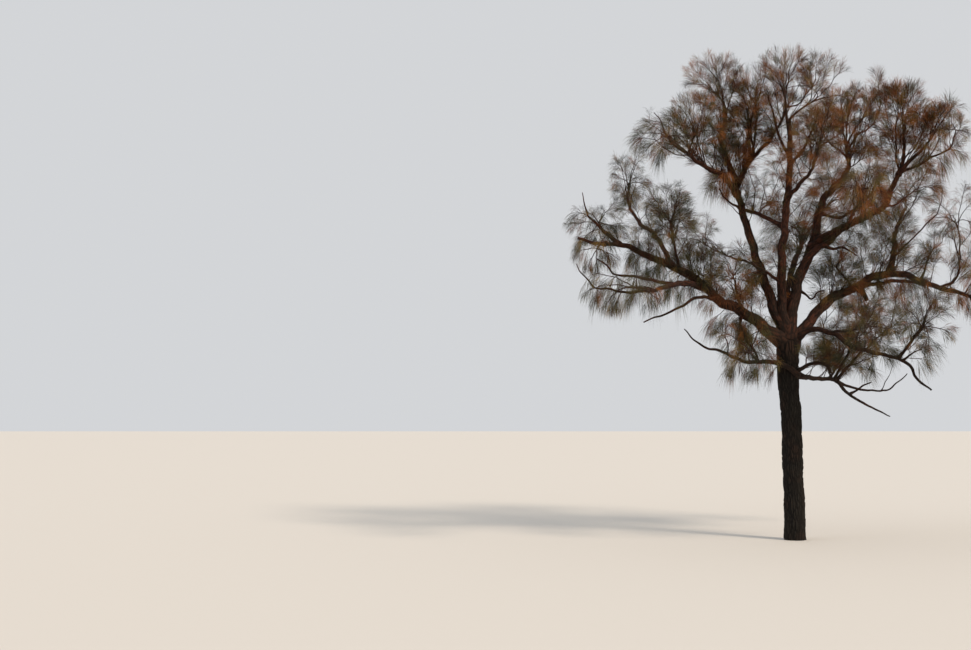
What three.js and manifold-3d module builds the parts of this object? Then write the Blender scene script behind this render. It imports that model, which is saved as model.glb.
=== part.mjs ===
// Desert oak, a she-oak with drooping needle-like twigs: one old tree, rooted in level ground.
// Millimetres, +Z up. The origin is the middle of the trunk's cut foot, and -Y is the side seen first.
import * as THREE from "three";
import { mergeVertices } from "three/addons/utils/BufferGeometryUtils.js";
import Module from "manifold-3d";

const wasm = await Module();
wasm.setup();

// Trunk: its radius along most of its height and below the fork, and the low root lobes at its foot.
const TRUNK_RADIUS = 145;
const FORK_RADIUS = 165;
const FORK_SWELL = [2200, 2800];
const TRUNK_TOP_RADIUS = 70;
const TRUNK_TOP = [2880, 3140];
const TRUNK_SIDES = 16;
const TRUNK_STEPS = 13;
const ROOT_FLARE = 0.14;
const FLARE_HEIGHT = 260;
const ROOT_LOBES = 5;
const LOBE_DEPTH = 0.3;
const BELOW_GROUND = 80;

// Limbs: the collar swells a limb by this share of its radius, and fades over this many radii.
const COLLAR = 0.3;
const COLLAR_RADII = 3;
const TAPER_POWER = 0.85;
const THICK_LIMB = 60;
const MIDDLING_LIMB = 30;
const LIMB_STEP = 400;

// Gaps: pieces that touch keep a seat gap, other pieces the clearance, and slivers thinner than the blur go.
const SEAT_GAP = 0.3;
const SKIN_GAP = 1.2 * SEAT_GAP;
const CLEARANCE = 4;
const LIMB_BLUR = 0.1;
const TWIG_BLUR = 2;

// Stems of the foliage: radius at the foot as a share of the bough's tip, alone or side by side.
const STEM_SIDES = 4;
const STEM_STEPS = 4;
const STEM_TIP_RADIUS = 9;
const STEM_SHARE = 0.9;
const SHARED_STEM_SHARE = 0.4;
const SHARED_STEM_OFFSET = 0.55;
const STRAIGHT_START = 60;
const STEM_BOW = 0.12;

// Foliage: each twig is a narrow stalk that opens into a blade toothed with long sprays of needles.
// Shares are of the twig's length.
const TWIGS_PER_MASS = 8;
const TWIG_SPACING = 0.06;
const TWIG_THICKNESS = 7;
const STALK_WIDTH = 14;
const ROOT_DEPTH = 4;
const ROOT_WIDTH = 10;
const NECK_SHARE = 0.18;
const NECK_WIDTH = 9;
const LONGEST_TWIG = 760;
const SHORTEST_TWIG = 200;
const TEETH_A_SIDE = 2;
const FIRST_TOOTH = 0.34;
const LAST_TOOTH = 0.8;
const TOOTH_LEAN = 0.24;
const TOOTH_REACH = 0.36;
const TOOTH_STAGGER = 0.03;
const NOTCH_SHIFT = 0.06;
const TWIG_ARCH = 0.5;
const TOOTH_HANG = 0.5;
const ROOT_ROOM = 45;
const OVER_REACH = 1.06;
const SPACE_SLACK = 1.12;
const ATTEMPTS = 8;
const SHORTER_EACH_TIME = 0.08;
const MOST_TURN = 1.5;
const SEED_STEP = 7919;
const GOLDEN_ANGLE = Math.PI * (3 - Math.sqrt(5));

const UP = new THREE.Vector3(0, 0, 1);

const MATERIALS = {
  lowerBark: new THREE.MeshStandardMaterial({ color: "#3b2f28", roughness: 0.95, metalness: 0 }),
  upperBark: new THREE.MeshStandardMaterial({ color: "#6b4a39", roughness: 0.9, metalness: 0 }),
  oliveNeedles: new THREE.MeshStandardMaterial({ color: "#5c5a3a", roughness: 0.8, metalness: 0 }),
  russetNeedles: new THREE.MeshStandardMaterial({ color: "#8a5a38", roughness: 0.8, metalness: 0 }),
};

// The trunk leans a little to the left on its way up to the fork.
const TRUNK_PATH = [
  [0, 0, -BELOW_GROUND],
  [10, 0, 320],
  [-5, 0, 1000],
  [-10, 0, 1860],
  [-40, 0, 2370],
  [-40, 0, 2800],
  [-60, 0, 3140],
];

// Each limb: name, the limb that carries it, its radius at the root and at the tip, then its way.
// The way starts on the carrying limb's axis, to which its first point is moved.
const LIMBS = [
  ["stem_right", "trunk", 95, 26,
    [-20, 0, 2950], [130, 50, 3820], [350, 100, 4310], [480, 200, 4700], [640, 350, 5160],
    [890, 500, 5380], [1120, 600, 5720], [1140, 700, 6060]],
  ["bough_left", "trunk", 90, 20,
    [-60, 0, 2900], [-420, -50, 3170], [-750, -150, 3390], [-1170, -250, 3560], [-1430, -300, 3820],
    [-2090, -500, 4140], [-2470, -600, 4280], [-2860, -700, 4310]],
  ["bough_right", "trunk", 82, 15,
    [-50, 0, 2790], [130, 50, 3030], [530, 200, 3470], [790, 300, 3660], [1160, 400, 3810],
    [1430, 450, 3990], [1790, 500, 4040], [2420, 700, 3880], [2860, 800, 3760], [3150, 850, 3690]],
  ["stem_middle", "trunk", 70, 30,
    [-60, 0, 3000], [-140, -50, 3690], [-130, -100, 4090], [-110, -150, 4530], [-50, -200, 5090],
    [0, -250, 5580], [-40, -300, 6180]],
  ["stem_left", "trunk", 75, 26,
    [-60, 0, 2960], [-250, 0, 3480], [-370, 100, 3920], [-470, 200, 4360], [-610, 300, 4950],
    [-680, 350, 5320], [-580, 380, 5580], [-430, 400, 5850]],
  ["back_bough", "trunk", 78, 28,
    [-50, 0, 2840], [60, 500, 3460], [300, 1050, 4120], [650, 1600, 4700]],
  ["right_big", "stem_right", 62, 18,
    [360, 100, 4330], [600, 0, 4540], [1110, -250, 4800], [1330, -400, 4930], [1430, -500, 5190],
    [1540, -600, 5410], [1730, -680, 5620]],
  ["right_big_riser", "right_big", 32, 18,
    [1500, -570, 5340], [1580, -560, 5600], [1620, -500, 5900]],
  ["right_front_limb", "right_big", 26, 14,
    [870, -120, 4690], [770, -700, 4740], [570, -1750, 4750]],
  ["left_fork", "bough_left", 26, 13,
    [-2620, -650, 4300], [-2860, -600, 4520], [-2900, -540, 4600]],
  ["left_riser", "bough_left", 34, 16,
    [-1840, -430, 4030], [-1930, -100, 4380], [-2010, 150, 4590], [-2170, 550, 4830],
    [-2260, 1000, 5170], [-2270, 1250, 5370]],
  ["left_tuft_limb", "bough_left", 24, 14,
    [-1700, -400, 3950], [-1850, -800, 4240], [-1930, -1050, 4350]],
  ["left_under", "bough_left", 42, 12,
    [-1330, -290, 3720], [-1790, -780, 3720], [-2080, -1200, 3620], [-2330, -1550, 3540]],
  ["left_dead", "bough_left", 24, 6,
    [-1150, -250, 3550], [-1510, -500, 3540], [-1760, -600, 3390], [-1970, -700, 3290],
    [-2310, -850, 3160]],
  ["left_spur", "bough_left", 26, 13,
    [-540, -80, 3250], [-680, 250, 3510], [-690, 600, 3880]],
  ["low_left", "trunk", 40, 5,
    [-40, 0, 2580], [-390, -150, 2640], [-670, -250, 2620], [-880, -350, 2670], [-1200, -500, 2780],
    [-1340, -550, 2810], [-1560, -650, 2930], [-1710, -700, 3070]],
  ["low_left_spur", "low_left", 20, 12,
    [-520, -200, 2630], [-680, -600, 2670], [-760, -850, 2680]],
  ["stem_left_arm", "stem_left", 20, 10,
    [-420, 150, 4050], [-560, 450, 4220], [-700, 850, 4340], [-820, 1250, 4490]],
  ["upper_left_arm", "stem_left", 46, 26,
    [-650, 350, 5250], [-900, 200, 5480], [-1230, -100, 5570], [-1540, -380, 5690]],
  ["upper_left_riser", "stem_left", 46, 20,
    [-670, 350, 5400], [-790, 400, 5720], [-880, 380, 5960], [-930, 350, 6120], [-860, 330, 6340],
    [-850, 320, 6560]],
  ["cross_limb", "stem_middle", 28, 14,
    [-110, -120, 4600], [-190, 500, 4910], [-160, 1150, 5080], [-40, 1550, 5220]],
  ["middle_arm", "stem_middle", 34, 16,
    [-50, -200, 5080], [30, -450, 5200], [100, -900, 5310], [90, -1250, 5430]],
  ["right_riser", "bough_right", 50, 16,
    [1700, 490, 4030], [1860, 750, 4420], [2000, 1100, 4740], [2280, 1500, 5120], [2420, 1750, 5280]],
  ["right_end_riser", "bough_right", 22, 12,
    [2560, 720, 3840], [2860, 900, 4000], [3000, 1050, 4190], [3080, 1200, 4610]],
  ["low_right", "bough_right", 40, 7,
    [60, 30, 2960], [270, -150, 3100], [420, -250, 3080], [580, -400, 3010], [780, -600, 2810],
    [1140, -850, 2690], [1410, -1000, 2550], [1490, -1050, 2350], [1680, -1100, 2170]],
  ["low_right_front_limb", "low_right", 22, 13,
    [500, -330, 3060], [610, -750, 3040], [630, -1200, 3030]],
  ["low_right_riser", "low_right", 22, 12,
    [1290, -940, 2640], [1400, -1050, 2820], [1450, -1150, 2920]],
  ["low_right_under", "trunk", 38, 5,
    [-50, 0, 2620], [70, 100, 2540], [410, 300, 2400], [820, 500, 2370], [980, 550, 2220],
    [1260, 600, 2030], [1440, 650, 1940], [1700, 700, 1830]],
  ["low_right_tuft_limb", "low_right_under", 20, 12,
    [690, 450, 2380], [900, 700, 2600], [1030, 950, 2730]],
];

// Each mass of foliage: name, the limb whose tip carries it, its middle, its reach along X, Y and Z, how
// far its sprays hang (0 stands up like a broom, 1 weeps), and its colour.
const MASSES = [
  ["far_left", "left_fork", [-2930, -350, 4700], [580, 540, 410], 0.6, "oliveNeedles"],
  ["left_tip", "bough_left", [-3050, -850, 4150], [440, 450, 380], 1, "oliveNeedles"],
  ["left_crest", "left_riser", [-2240, 1500, 5760], [480, 530, 580], 0.4, "oliveNeedles"],
  ["left_tuft", "left_tuft_limb", [-1990, -1400, 4640], [390, 430, 470], 0.3, "oliveNeedles"],
  ["left_hang", "left_under", [-2760, -2050, 3470], [580, 530, 390], 0.8, "oliveNeedles"],
  ["left_heart", "left_spur", [-680, 950, 4110], [500, 480, 540], 0.3, "oliveNeedles"],
  ["low_left_puff", "low_left_spur", [-920, -1300, 2710], [480, 470, 470], 0.7, "oliveNeedles"],
  ["left_wisp", "stem_left_arm", [-1030, 1750, 4790], [380, 450, 440], 0.4, "oliveNeedles"],
  ["upper_far_left", "upper_left_arm", [-2070, -1300, 5820], [440, 470, 390], 0.4, "oliveNeedles"],
  ["upper_left", "upper_left_arm", [-1450, -480, 6170], [440, 470, 550], 0.1, "russetNeedles"],
  ["top_left", "upper_left_riser", [-1000, 320, 7000], [560, 540, 520], 0.1, "russetNeedles"],
  ["left_dense", "stem_left", [-590, 50, 6330], [440, 450, 560], 0.3, "russetNeedles"],
  ["top_middle_left", "stem_left", [-360, 450, 7040], [430, 460, 520], 0, "russetNeedles"],
  ["between", "cross_limb", [320, 2100, 5580], [430, 500, 600], 0.3, "oliveNeedles"],
  ["top", "stem_middle", [-60, -230, 6950], [430, 470, 560], 0, "russetNeedles"],
  ["top_right", "stem_middle", [430, -540, 6700], [430, 470, 560], 0.1, "russetNeedles"],
  ["middle_right", "middle_arm", [10, -1700, 5680], [380, 450, 500], 0.3, "russetNeedles"],
  ["right_inner", "stem_right", [1130, 650, 6610], [430, 470, 550], 0.1, "russetNeedles"],
  ["right_top", "stem_right", [1720, 1250, 6900], [470, 500, 500], 0.2, "russetNeedles"],
  ["right_crest", "right_big_riser", [1690, -330, 6350], [470, 490, 560], 0.1, "russetNeedles"],
  ["right_edge", "right_big", [1830, -1250, 5940], [450, 470, 450], 0.4, "russetNeedles"],
  ["right_front", "right_front_limb", [410, -2300, 4840], [370, 480, 430], 0.6, "russetNeedles"],
  ["right_riser_puff", "right_riser", [2530, 2100, 5660], [520, 530, 570], 0.3, "russetNeedles"],
  ["right_far", "bough_right", [3300, 900, 4050], [540, 540, 580], 0.8, "russetNeedles"],
  ["right_end", "right_end_riser", [3090, 1400, 5110], [490, 500, 540], 0.4, "russetNeedles"],
  ["low_right_puff", "low_right_riser", [1440, -1600, 3100], [440, 470, 460], 0.7, "russetNeedles"],
  ["low_right_front", "low_right_front_limb", [670, -1650, 3090], [440, 470, 490], 0.6, "oliveNeedles"],
  ["low_right_tuft", "low_right_tuft_limb", [1200, 1350, 2980], [520, 500, 520], 0.5, "oliveNeedles"],
  ["back_low", "back_bough", [680, 2500, 5140], [670, 630, 600], 0.5, "oliveNeedles"],
  ["back_high", "back_bough", [1480, 2300, 5720], [560, 580, 600], 0.3, "russetNeedles"],
];

// A three.js geometry as a solid, from its positions alone.
function solidOf(geometry) {
  const bare = geometry.clone();
  bare.deleteAttribute("normal");
  bare.deleteAttribute("uv");
  const merged = mergeVertices(bare, 1e-4);
  return new wasm.Manifold(
    new wasm.Mesh({
      numProp: 3,
      vertProperties: merged.attributes.position.array,
      triVerts: new Uint32Array(merged.index.array),
    }),
  );
}

// A solid as a three.js geometry.
function geometryOf(solid) {
  const mesh = solid.getMesh();
  const geometry = new THREE.BufferGeometry();
  geometry.setAttribute("position", new THREE.BufferAttribute(mesh.vertProperties, 3));
  geometry.setIndex(new THREE.BufferAttribute(mesh.triVerts, 1));
  geometry.computeVertexNormals();
  return geometry;
}

// A round bar bent along a curve; radiusAt gives its radius at a share of the way and an angle round it.
function bar(curve, radiusAt, sides, steps) {
  const shape = new THREE.CylinderGeometry(1, 1, 1, sides, steps);
  const frames = curve.computeFrenetFrames(steps);
  const places = shape.attributes.position;
  const corner = new THREE.Vector3();
  for (let i = 0; i < places.count; i += 1) {
    corner.fromBufferAttribute(places, i);
    const ring = Math.round((corner.y + 0.5) * steps);
    const radius = radiusAt(ring / steps, Math.atan2(corner.z, corner.x));
    const place = curve
      .getPointAt(ring / steps)
      .addScaledVector(frames.binormals[ring], corner.x * radius)
      .addScaledVector(frames.normals[ring], corner.z * radius);
    places.setXYZ(i, place.x, place.y, place.z);
  }
  return solidOf(shape);
}

function curveThrough(points) {
  return new THREE.CatmullRomCurve3(points.map((point) => new THREE.Vector3(...point)));
}

// The point of a curve nearest to a given one.
function nearestOn(curve, target) {
  const steps = 400;
  return curve.getSpacedPoints(steps).reduce(
    (best, point) => (point.distanceTo(target) < best.distanceTo(target) ? point : best),
  );
}

// The largest body of a solid, with loose scraps dropped and sealed hollows filled.
function mainBody(solid) {
  return solid.decompose().reduce((best, body) => (body.volume() > best.volume() ? body : best));
}

// The same body without the slivers that joining and cutting leave, true to a given distance.
function wholeBody(solid, distance) {
  return mainBody(mainBody(solid).asOriginal().simplify(distance));
}

function boxesNear(a, b, gap) {
  const first = a.boundingBox();
  const second = b.boundingBox();
  return [0, 1, 2].every(
    (axis) => first.min[axis] < second.max[axis] + gap && second.min[axis] < first.max[axis] + gap,
  );
}

function isClear(piece, solids) {
  return solids.every(
    (other) => !boxesNear(piece, other, CLEARANCE) || piece.minGap(other, CLEARANCE) >= CLEARANCE,
  );
}

// Whether two solids share nothing further from a given point than a twig's root needs.
function meetsOnlyAt(root, piece, body) {
  const common = piece.intersect(body);
  if (common.isEmpty()) return true;
  const { min, max } = common.boundingBox();
  const place = root.toArray();
  return [0, 1, 2].every(
    (axis) => place[axis] - min[axis] < ROOT_ROOM && max[axis] - place[axis] < ROOT_ROOM,
  );
}

// Evenly spread chance numbers that any language can repeat: each is the last times 48271, modulo 2^31 - 1.
function seeded(seed) {
  let state = seed;
  return (low, high) => {
    state = (state * 48271) % 2147483647;
    return low + ((high - low) * state) / 2147483647;
  };
}

// The trunk swells into low root lobes at the foot and again below the fork, and rounds off inside it.
function trunkRadius(share, angle) {
  const height = share * (TRUNK_PATH.at(-1)[2] + BELOW_GROUND) - BELOW_GROUND;
  const lobes = 1 - LOBE_DEPTH + LOBE_DEPTH * Math.cos(ROOT_LOBES * angle);
  const flare = ROOT_FLARE * Math.exp(-height / FLARE_HEIGHT) * lobes;
  const swell = THREE.MathUtils.smoothstep(height, ...FORK_SWELL) * (FORK_RADIUS - TRUNK_RADIUS);
  const closing = THREE.MathUtils.smoothstep(height, ...TRUNK_TOP) * (FORK_RADIUS - TRUNK_TOP_RADIUS);
  return TRUNK_RADIUS * (1 + flare) + swell - closing;
}

function makeTrunk() {
  const curve = curveThrough(TRUNK_PATH);
  const solid = bar(curve, trunkRadius, TRUNK_SIDES, TRUNK_STEPS).trimByPlane([0, 0, 1], 0);
  const [x, y, z] = TRUNK_PATH.at(-1);
  const taller = curveThrough([...TRUNK_PATH.slice(0, -1), [x, y, z + 2 * SEAT_GAP]]);
  const grown = (share, angle) => trunkRadius(share, angle) + SKIN_GAP;
  return { curve, solid, skin: bar(taller, grown, TRUNK_SIDES, TRUNK_STEPS) };
}

// A limb tapers from a swollen collar at its root to its tip. Its skin is the same bar a little larger, which
// cuts later limbs a seat gap clear.
function makeLimb([name, carrier, rootRadius, tipRadius, ...way], limbs) {
  const points = way.map((point) => new THREE.Vector3(...point));
  points[0] = nearestOn(limbs.get(carrier).curve, points[0]);
  const curve = new THREE.CatmullRomCurve3(points);
  const length = curve.getLength();
  const radiusAt = (share) => {
    const fade = (share * length) / (COLLAR_RADII * rootRadius);
    const collar = COLLAR * rootRadius * Math.exp(-(fade ** 2));
    return tipRadius + (rootRadius - tipRadius) * (1 - share) ** TAPER_POWER + collar;
  };
  const sides = rootRadius > THICK_LIMB ? 8 : rootRadius > MIDDLING_LIMB ? 6 : 5;
  const steps = Math.ceil(length / LIMB_STEP) + 3;
  const whole = bar(curve, radiusAt, sides, steps);
  const skin = bar(curve, (share) => radiusAt(share) + SKIN_GAP, sides, steps);
  let solid = whole;
  for (const earlier of limbs.values()) solid = solid.subtract(earlier.skin);
  return {
    curve,
    skin,
    solid: wholeBody(solid, LIMB_BLUR),
    tip: curve.getPointAt(1),
    heading: curve.getTangentAt(1),
    tipRadius,
  };
}

// A twig with its needles: a stalk, then long teeth on both sides that lean forward and one at the end.
// It arches over its length, and its teeth hang by the given droop.
function makeTwig(root, heading, length, turn, droop) {
  const halfStalk = STALK_WIDTH / 2;
  const side = [];
  for (let i = 0; i < TEETH_A_SIDE; i += 1) {
    const share = THREE.MathUtils.lerp(FIRST_TOOTH, LAST_TOOTH, (i + 0.5) / TEETH_A_SIDE);
    const reach = TOOTH_REACH * (1.15 - 0.5 * share) * length;
    const stagger = i % 2 ? TOOTH_STAGGER : -TOOTH_STAGGER;
    side.push([(share + TOOTH_LEAN * (1.1 - share) + stagger) * length, reach]);
    side.push([(share + NOTCH_SHIFT) * length, halfStalk]);
  }
  const outline = new THREE.Shape();
  outline.moveTo(-ROOT_DEPTH, -ROOT_WIDTH / 2);
  outline.lineTo(NECK_SHARE * length, -NECK_WIDTH / 2);
  for (const [along, aside] of side) outline.lineTo(along, -aside);
  outline.lineTo(length, 0);
  for (const [along, aside] of side.reverse()) outline.lineTo(along, aside);
  outline.lineTo(NECK_SHARE * length, NECK_WIDTH / 2);
  outline.lineTo(-ROOT_DEPTH, ROOT_WIDTH / 2);
  const blade = new THREE.ExtrudeGeometry(outline, { depth: TWIG_THICKNESS, bevelEnabled: false });
  const across = new THREE.Vector3().crossVectors(heading, UP).normalize().applyAxisAngle(heading, turn);
  const through = new THREE.Vector3().crossVectors(heading, across);
  const places = blade.attributes.position;
  const corner = new THREE.Vector3();
  for (let i = 0; i < places.count; i += 1) {
    corner.fromBufferAttribute(places, i);
    const share = Math.max(corner.x, 0) / length;
    const hang = TOOTH_HANG * droop * Math.max(Math.abs(corner.y) - halfStalk, 0);
    const place = root
      .clone()
      .addScaledVector(heading, corner.x)
      .addScaledVector(across, corner.y)
      .addScaledVector(through, corner.z - TWIG_THICKNESS / 2)
      .addScaledVector(UP, TWIG_ARCH * length * share * (1 - share) - hang);
    places.setXYZ(i, place.x, place.y, place.z);
  }
  return blade;
}

function isInside(geometry, middle, reach) {
  const places = geometry.attributes.position;
  const corner = new THREE.Vector3();
  for (let i = 0; i < places.count; i += 1) {
    corner.fromBufferAttribute(places, i).sub(middle).divide(reach);
    if (corner.length() > SPACE_SLACK) return false;
  }
  return true;
}

// The stem of a mass: it goes on from the bough's tip, a seat gap clear of it, to the heart of the mass.
// Two masses on one bough start side by side.
function makeStem([, carrier, middlePoint, reachSizes, droop], limbs) {
  const middle = new THREE.Vector3(...middlePoint);
  const partners = MASSES.filter((row) => row[1] === carrier).map((row) => new THREE.Vector3(...row[2]));
  const isShared = partners.length > 1;
  const between = partners[0].clone().lerp(partners.at(-1), 0.5);
  const reach = new THREE.Vector3(...reachSizes);
  const { tip, heading, tipRadius } = limbs.get(carrier);
  const aside = middle.clone().sub(between).projectOnPlane(heading).normalize();
  const footRadius = tipRadius * (isShared ? SHARED_STEM_SHARE : STEM_SHARE);
  const foot = tip
    .clone()
    .addScaledVector(heading, SEAT_GAP)
    .addScaledVector(aside, isShared ? SHARED_STEM_OFFSET * tipRadius : 0);
  const heart = middle.clone().addScaledVector(UP, (droop - 0.6) * 0.6 * reach.z);
  const length = heart.distanceTo(foot);
  const curve = new THREE.CatmullRomCurve3([
    foot,
    foot.clone().addScaledVector(heading, Math.min(STRAIGHT_START, 0.2 * length)),
    foot.clone().lerp(heart, 0.55).addScaledVector(heading, STEM_BOW * length),
    heart,
  ]);
  const taper = (share) => THREE.MathUtils.lerp(footRadius, STEM_TIP_RADIUS, share);
  return { curve, solid: bar(curve, taper, STEM_SIDES, STEM_STEPS), middle, reach, droop };
}

// A mass of foliage: twigs with needles spread round its stem by the golden angle. A twig that would leave
// the mass's own space, cross another or come near another limb or mass is turned and shortened, and in the
// end left off.
function makeMass(stem, index, others) {
  const { middle, reach, droop } = stem;
  const random = seeded(SEED_STEP * (index + 1));
  let body = stem.solid;
  for (let i = 0; i < TWIGS_PER_MASS; i += 1) {
    const height = 1 - (2 * (i + 0.5)) / TWIGS_PER_MASS;
    const round = GOLDEN_ANGLE * i + random(0, 0.6);
    const flat = Math.sqrt(1 - height * height);
    const out = new THREE.Vector3(flat * Math.cos(round), flat * Math.sin(round), height);
    const root = stem.curve.getPointAt(1 - TWIG_SPACING * (TWIGS_PER_MASS - i));
    const way = out.multiply(reach).multiplyScalar(OVER_REACH).add(middle).sub(root);
    for (let attempt = 0; attempt < ATTEMPTS; attempt += 1) {
      const length = Math.min(LONGEST_TWIG, way.length()) * (1 - SHORTER_EACH_TIME * attempt);
      const turn = random(-MOST_TURN, MOST_TURN);
      if (length < SHORTEST_TWIG) continue;
      const blade = makeTwig(root, way.clone().normalize(), length, turn, droop);
      if (!isInside(blade, middle, reach)) continue;
      const twig = solidOf(blade);
      if (!isClear(twig, others) || !meetsOnlyAt(root, twig, body)) continue;
      body = body.add(twig);
      break;
    }
  }
  return wholeBody(body, TWIG_BLUR);
}

const tree = new THREE.Group();

function addNode(name, solid, material) {
  const node = new THREE.Mesh(geometryOf(solid), material);
  node.name = name;
  tree.add(node);
}

const limbs = new Map([["trunk", makeTrunk()]]);
for (const row of LIMBS) limbs.set(row[0], makeLimb(row, limbs));
for (const [name, limb] of limbs) {
  addNode(name, limb.solid, name === "trunk" ? MATERIALS.lowerBark : MATERIALS.upperBark);
}

const wood = [...limbs.values()].map((limb) => limb.solid);
const stems = MASSES.map((row) => makeStem(row, limbs));
const crown = stems.map((stem) => stem.solid);
stems.forEach((stem, index) => {
  const others = [...wood, ...crown.filter((_, other) => other !== index)];
  crown[index] = makeMass(stem, index, others);
  addNode(`foliage_${MASSES[index][0]}`, crown[index], MATERIALS[MASSES[index][5]]);
});

export default tree;
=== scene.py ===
"""A desert she-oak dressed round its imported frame.

Furrowed bark covers the trunk and boughs. The crown grows by the same rule as the plain masses of the
frame, from stem to wand to sprig, and ends in fine drooping strands of needle-like twigs.
Sizes and places are in metres, +Z up, from the middle of the trunk's foot.
"""

import logging
import math
from collections.abc import Callable
from dataclasses import dataclass, fields
from enum import Enum
from functools import cached_property

import bpy
import numpy as np
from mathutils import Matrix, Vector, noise


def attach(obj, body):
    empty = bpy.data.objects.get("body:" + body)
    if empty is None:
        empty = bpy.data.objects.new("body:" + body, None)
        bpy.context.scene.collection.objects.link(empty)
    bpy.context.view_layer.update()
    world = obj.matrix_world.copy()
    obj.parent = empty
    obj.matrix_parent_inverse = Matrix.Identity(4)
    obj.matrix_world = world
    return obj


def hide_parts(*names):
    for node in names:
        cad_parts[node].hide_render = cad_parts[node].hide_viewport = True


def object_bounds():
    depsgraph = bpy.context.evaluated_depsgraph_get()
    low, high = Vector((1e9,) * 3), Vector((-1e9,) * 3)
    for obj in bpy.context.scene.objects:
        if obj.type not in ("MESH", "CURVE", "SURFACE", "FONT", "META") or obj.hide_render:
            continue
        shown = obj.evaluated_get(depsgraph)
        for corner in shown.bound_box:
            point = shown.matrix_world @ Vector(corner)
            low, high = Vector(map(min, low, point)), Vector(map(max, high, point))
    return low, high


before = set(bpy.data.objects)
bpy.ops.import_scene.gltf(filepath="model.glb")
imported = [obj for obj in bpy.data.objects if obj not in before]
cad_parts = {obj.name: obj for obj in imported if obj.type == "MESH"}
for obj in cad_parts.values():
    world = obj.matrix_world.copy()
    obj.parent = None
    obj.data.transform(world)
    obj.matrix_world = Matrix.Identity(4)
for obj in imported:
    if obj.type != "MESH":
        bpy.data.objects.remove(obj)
CAD_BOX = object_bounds()
LOG = logging.getLogger("she_oak")

Point = tuple[float, float, float]
ALONG_X, ALONG_Y, UP = np.eye(3)
FULL_TURN = 2 * math.pi
GOLDEN_ANGLE = math.pi * (3 - math.sqrt(5))
MILLIMETRE = 0.001
TINY = 1e-9
# The seed of the drift that kinks the limbs and wanders through their bark.
DRIFT_SEED = 5
# The sRGB curve: straight at its foot, then a power.
SRGB_FOOT, SRGB_FOOT_SLOPE, SRGB_OFFSET, SRGB_POWER = 0.04045, 12.92, 0.055, 2.4
# The attribute that tells a bark mesh's material how far up a plate a point lies, and so where it paints
# shade into the fissures.
RELIEF = "ridge"


class PaintedCrownLight(Enum):
    """The two colourings of foliage, named as the record's material slots: olive, the needles' own grey-green
    with painted shade in its deeper tints, for the left and low masses; russet, painted warm sunlight, for
    the upper and right masses.
    """

    OLIVE = "olive_needles"
    RUSSET = "russet_needles"


class Tint(Enum):
    """Needle colours, dealt out by spray: the shaded and the lit tone of each, and its slot."""

    DEEP_OLIVE = ("#24241a", "#3a3a25", PaintedCrownLight.OLIVE)
    OLIVE = ("#3c3720", "#584e2b", PaintedCrownLight.OLIVE)
    STRAW = ("#5c4b29", "#836838", PaintedCrownLight.OLIVE)
    # The russet tints are painted warm sunlight on the needles' own grey-green.
    DEEP_RUSSET = ("#352218", "#4e3020", PaintedCrownLight.RUSSET)
    RUSSET = ("#57351f", "#7a4826", PaintedCrownLight.RUSSET)
    COPPER = ("#794826", "#9d6535", PaintedCrownLight.RUSSET)


# How often each tint is dealt to a spray, in the order of Tint. The olive masses draw mostly deep tints, as
# painted shade, and the russet masses mostly russet and copper, as painted warm sunlight.
SHARES_OF_TINTS = {
    PaintedCrownLight.OLIVE: (0.38, 0.34, 0.1, 0.12, 0.05, 0.01),
    PaintedCrownLight.RUSSET: (0.07, 0.13, 0.16, 0.22, 0.26, 0.16),
}


def linear(colour: str) -> tuple[float, float, float, float]:
    """Turns an sRGB hex colour into the linear colour that a shader takes.

    Args:
        colour: The colour as "#rrggbb".

    Returns:
        Linear red, green, blue and a full alpha.
    """
    shares = [int(colour[i : i + 2], 16) / 255 for i in (1, 3, 5)]
    red, green, blue = (
        s / SRGB_FOOT_SLOPE if s <= SRGB_FOOT else ((s + SRGB_OFFSET) / (1 + SRGB_OFFSET)) ** SRGB_POWER
        for s in shares
    )
    return red, green, blue, 1.0


def add_node(
    tree: bpy.types.NodeTree, kind: str, inputs: dict | None = None, **settings: object
) -> bpy.types.Node:
    """Adds a shader node with its settings, values and links.

    Args:
        tree: The node tree to add to.
        kind: Blender's name for the node type.
        inputs: A value or an output socket for each named or numbered input.
        **settings: The node's own properties.

    Returns:
        The new node.
    """
    node = tree.nodes.new(kind)
    for name, value in settings.items():
        setattr(node, name, value)
    for name, value in (inputs or {}).items():
        if isinstance(value, bpy.types.NodeSocket):
            tree.links.new(value, node.inputs[name])
        else:
            node.inputs[name].default_value = value
    return node


def per_metre(size_mm: float) -> float:
    """How often a pattern of a real size repeats in a metre."""
    return 1 / (size_mm * MILLIMETRE)


def add_object(name: str, data: bpy.types.ID) -> bpy.types.Object:
    """Adds an object with its data to the scene."""
    made = bpy.data.objects.new(name, data)
    bpy.context.scene.collection.objects.link(made)
    return made


@dataclass(frozen=True, kw_only=True)
class Finish:
    """An opaque surface without metal, coloured by nodes of its own."""

    name: str
    roughness: float
    specular: float

    def look(self, tree: bpy.types.NodeTree) -> dict:
        """What the finish gives its shader's sockets beyond gloss."""
        raise NotImplementedError

    def make(self) -> bpy.types.Material:
        """Builds the material."""
        material = bpy.data.materials.new(self.name)
        material.use_nodes = True
        tree = material.node_tree
        tree.nodes.clear()
        sockets = {"Roughness": self.roughness, "Specular IOR Level": self.specular, **self.look(tree)}
        shader = add_node(tree, "ShaderNodeBsdfPrincipled", sockets)
        add_node(tree, "ShaderNodeOutputMaterial", {"Surface": shader.outputs[0]})
        return material


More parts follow.
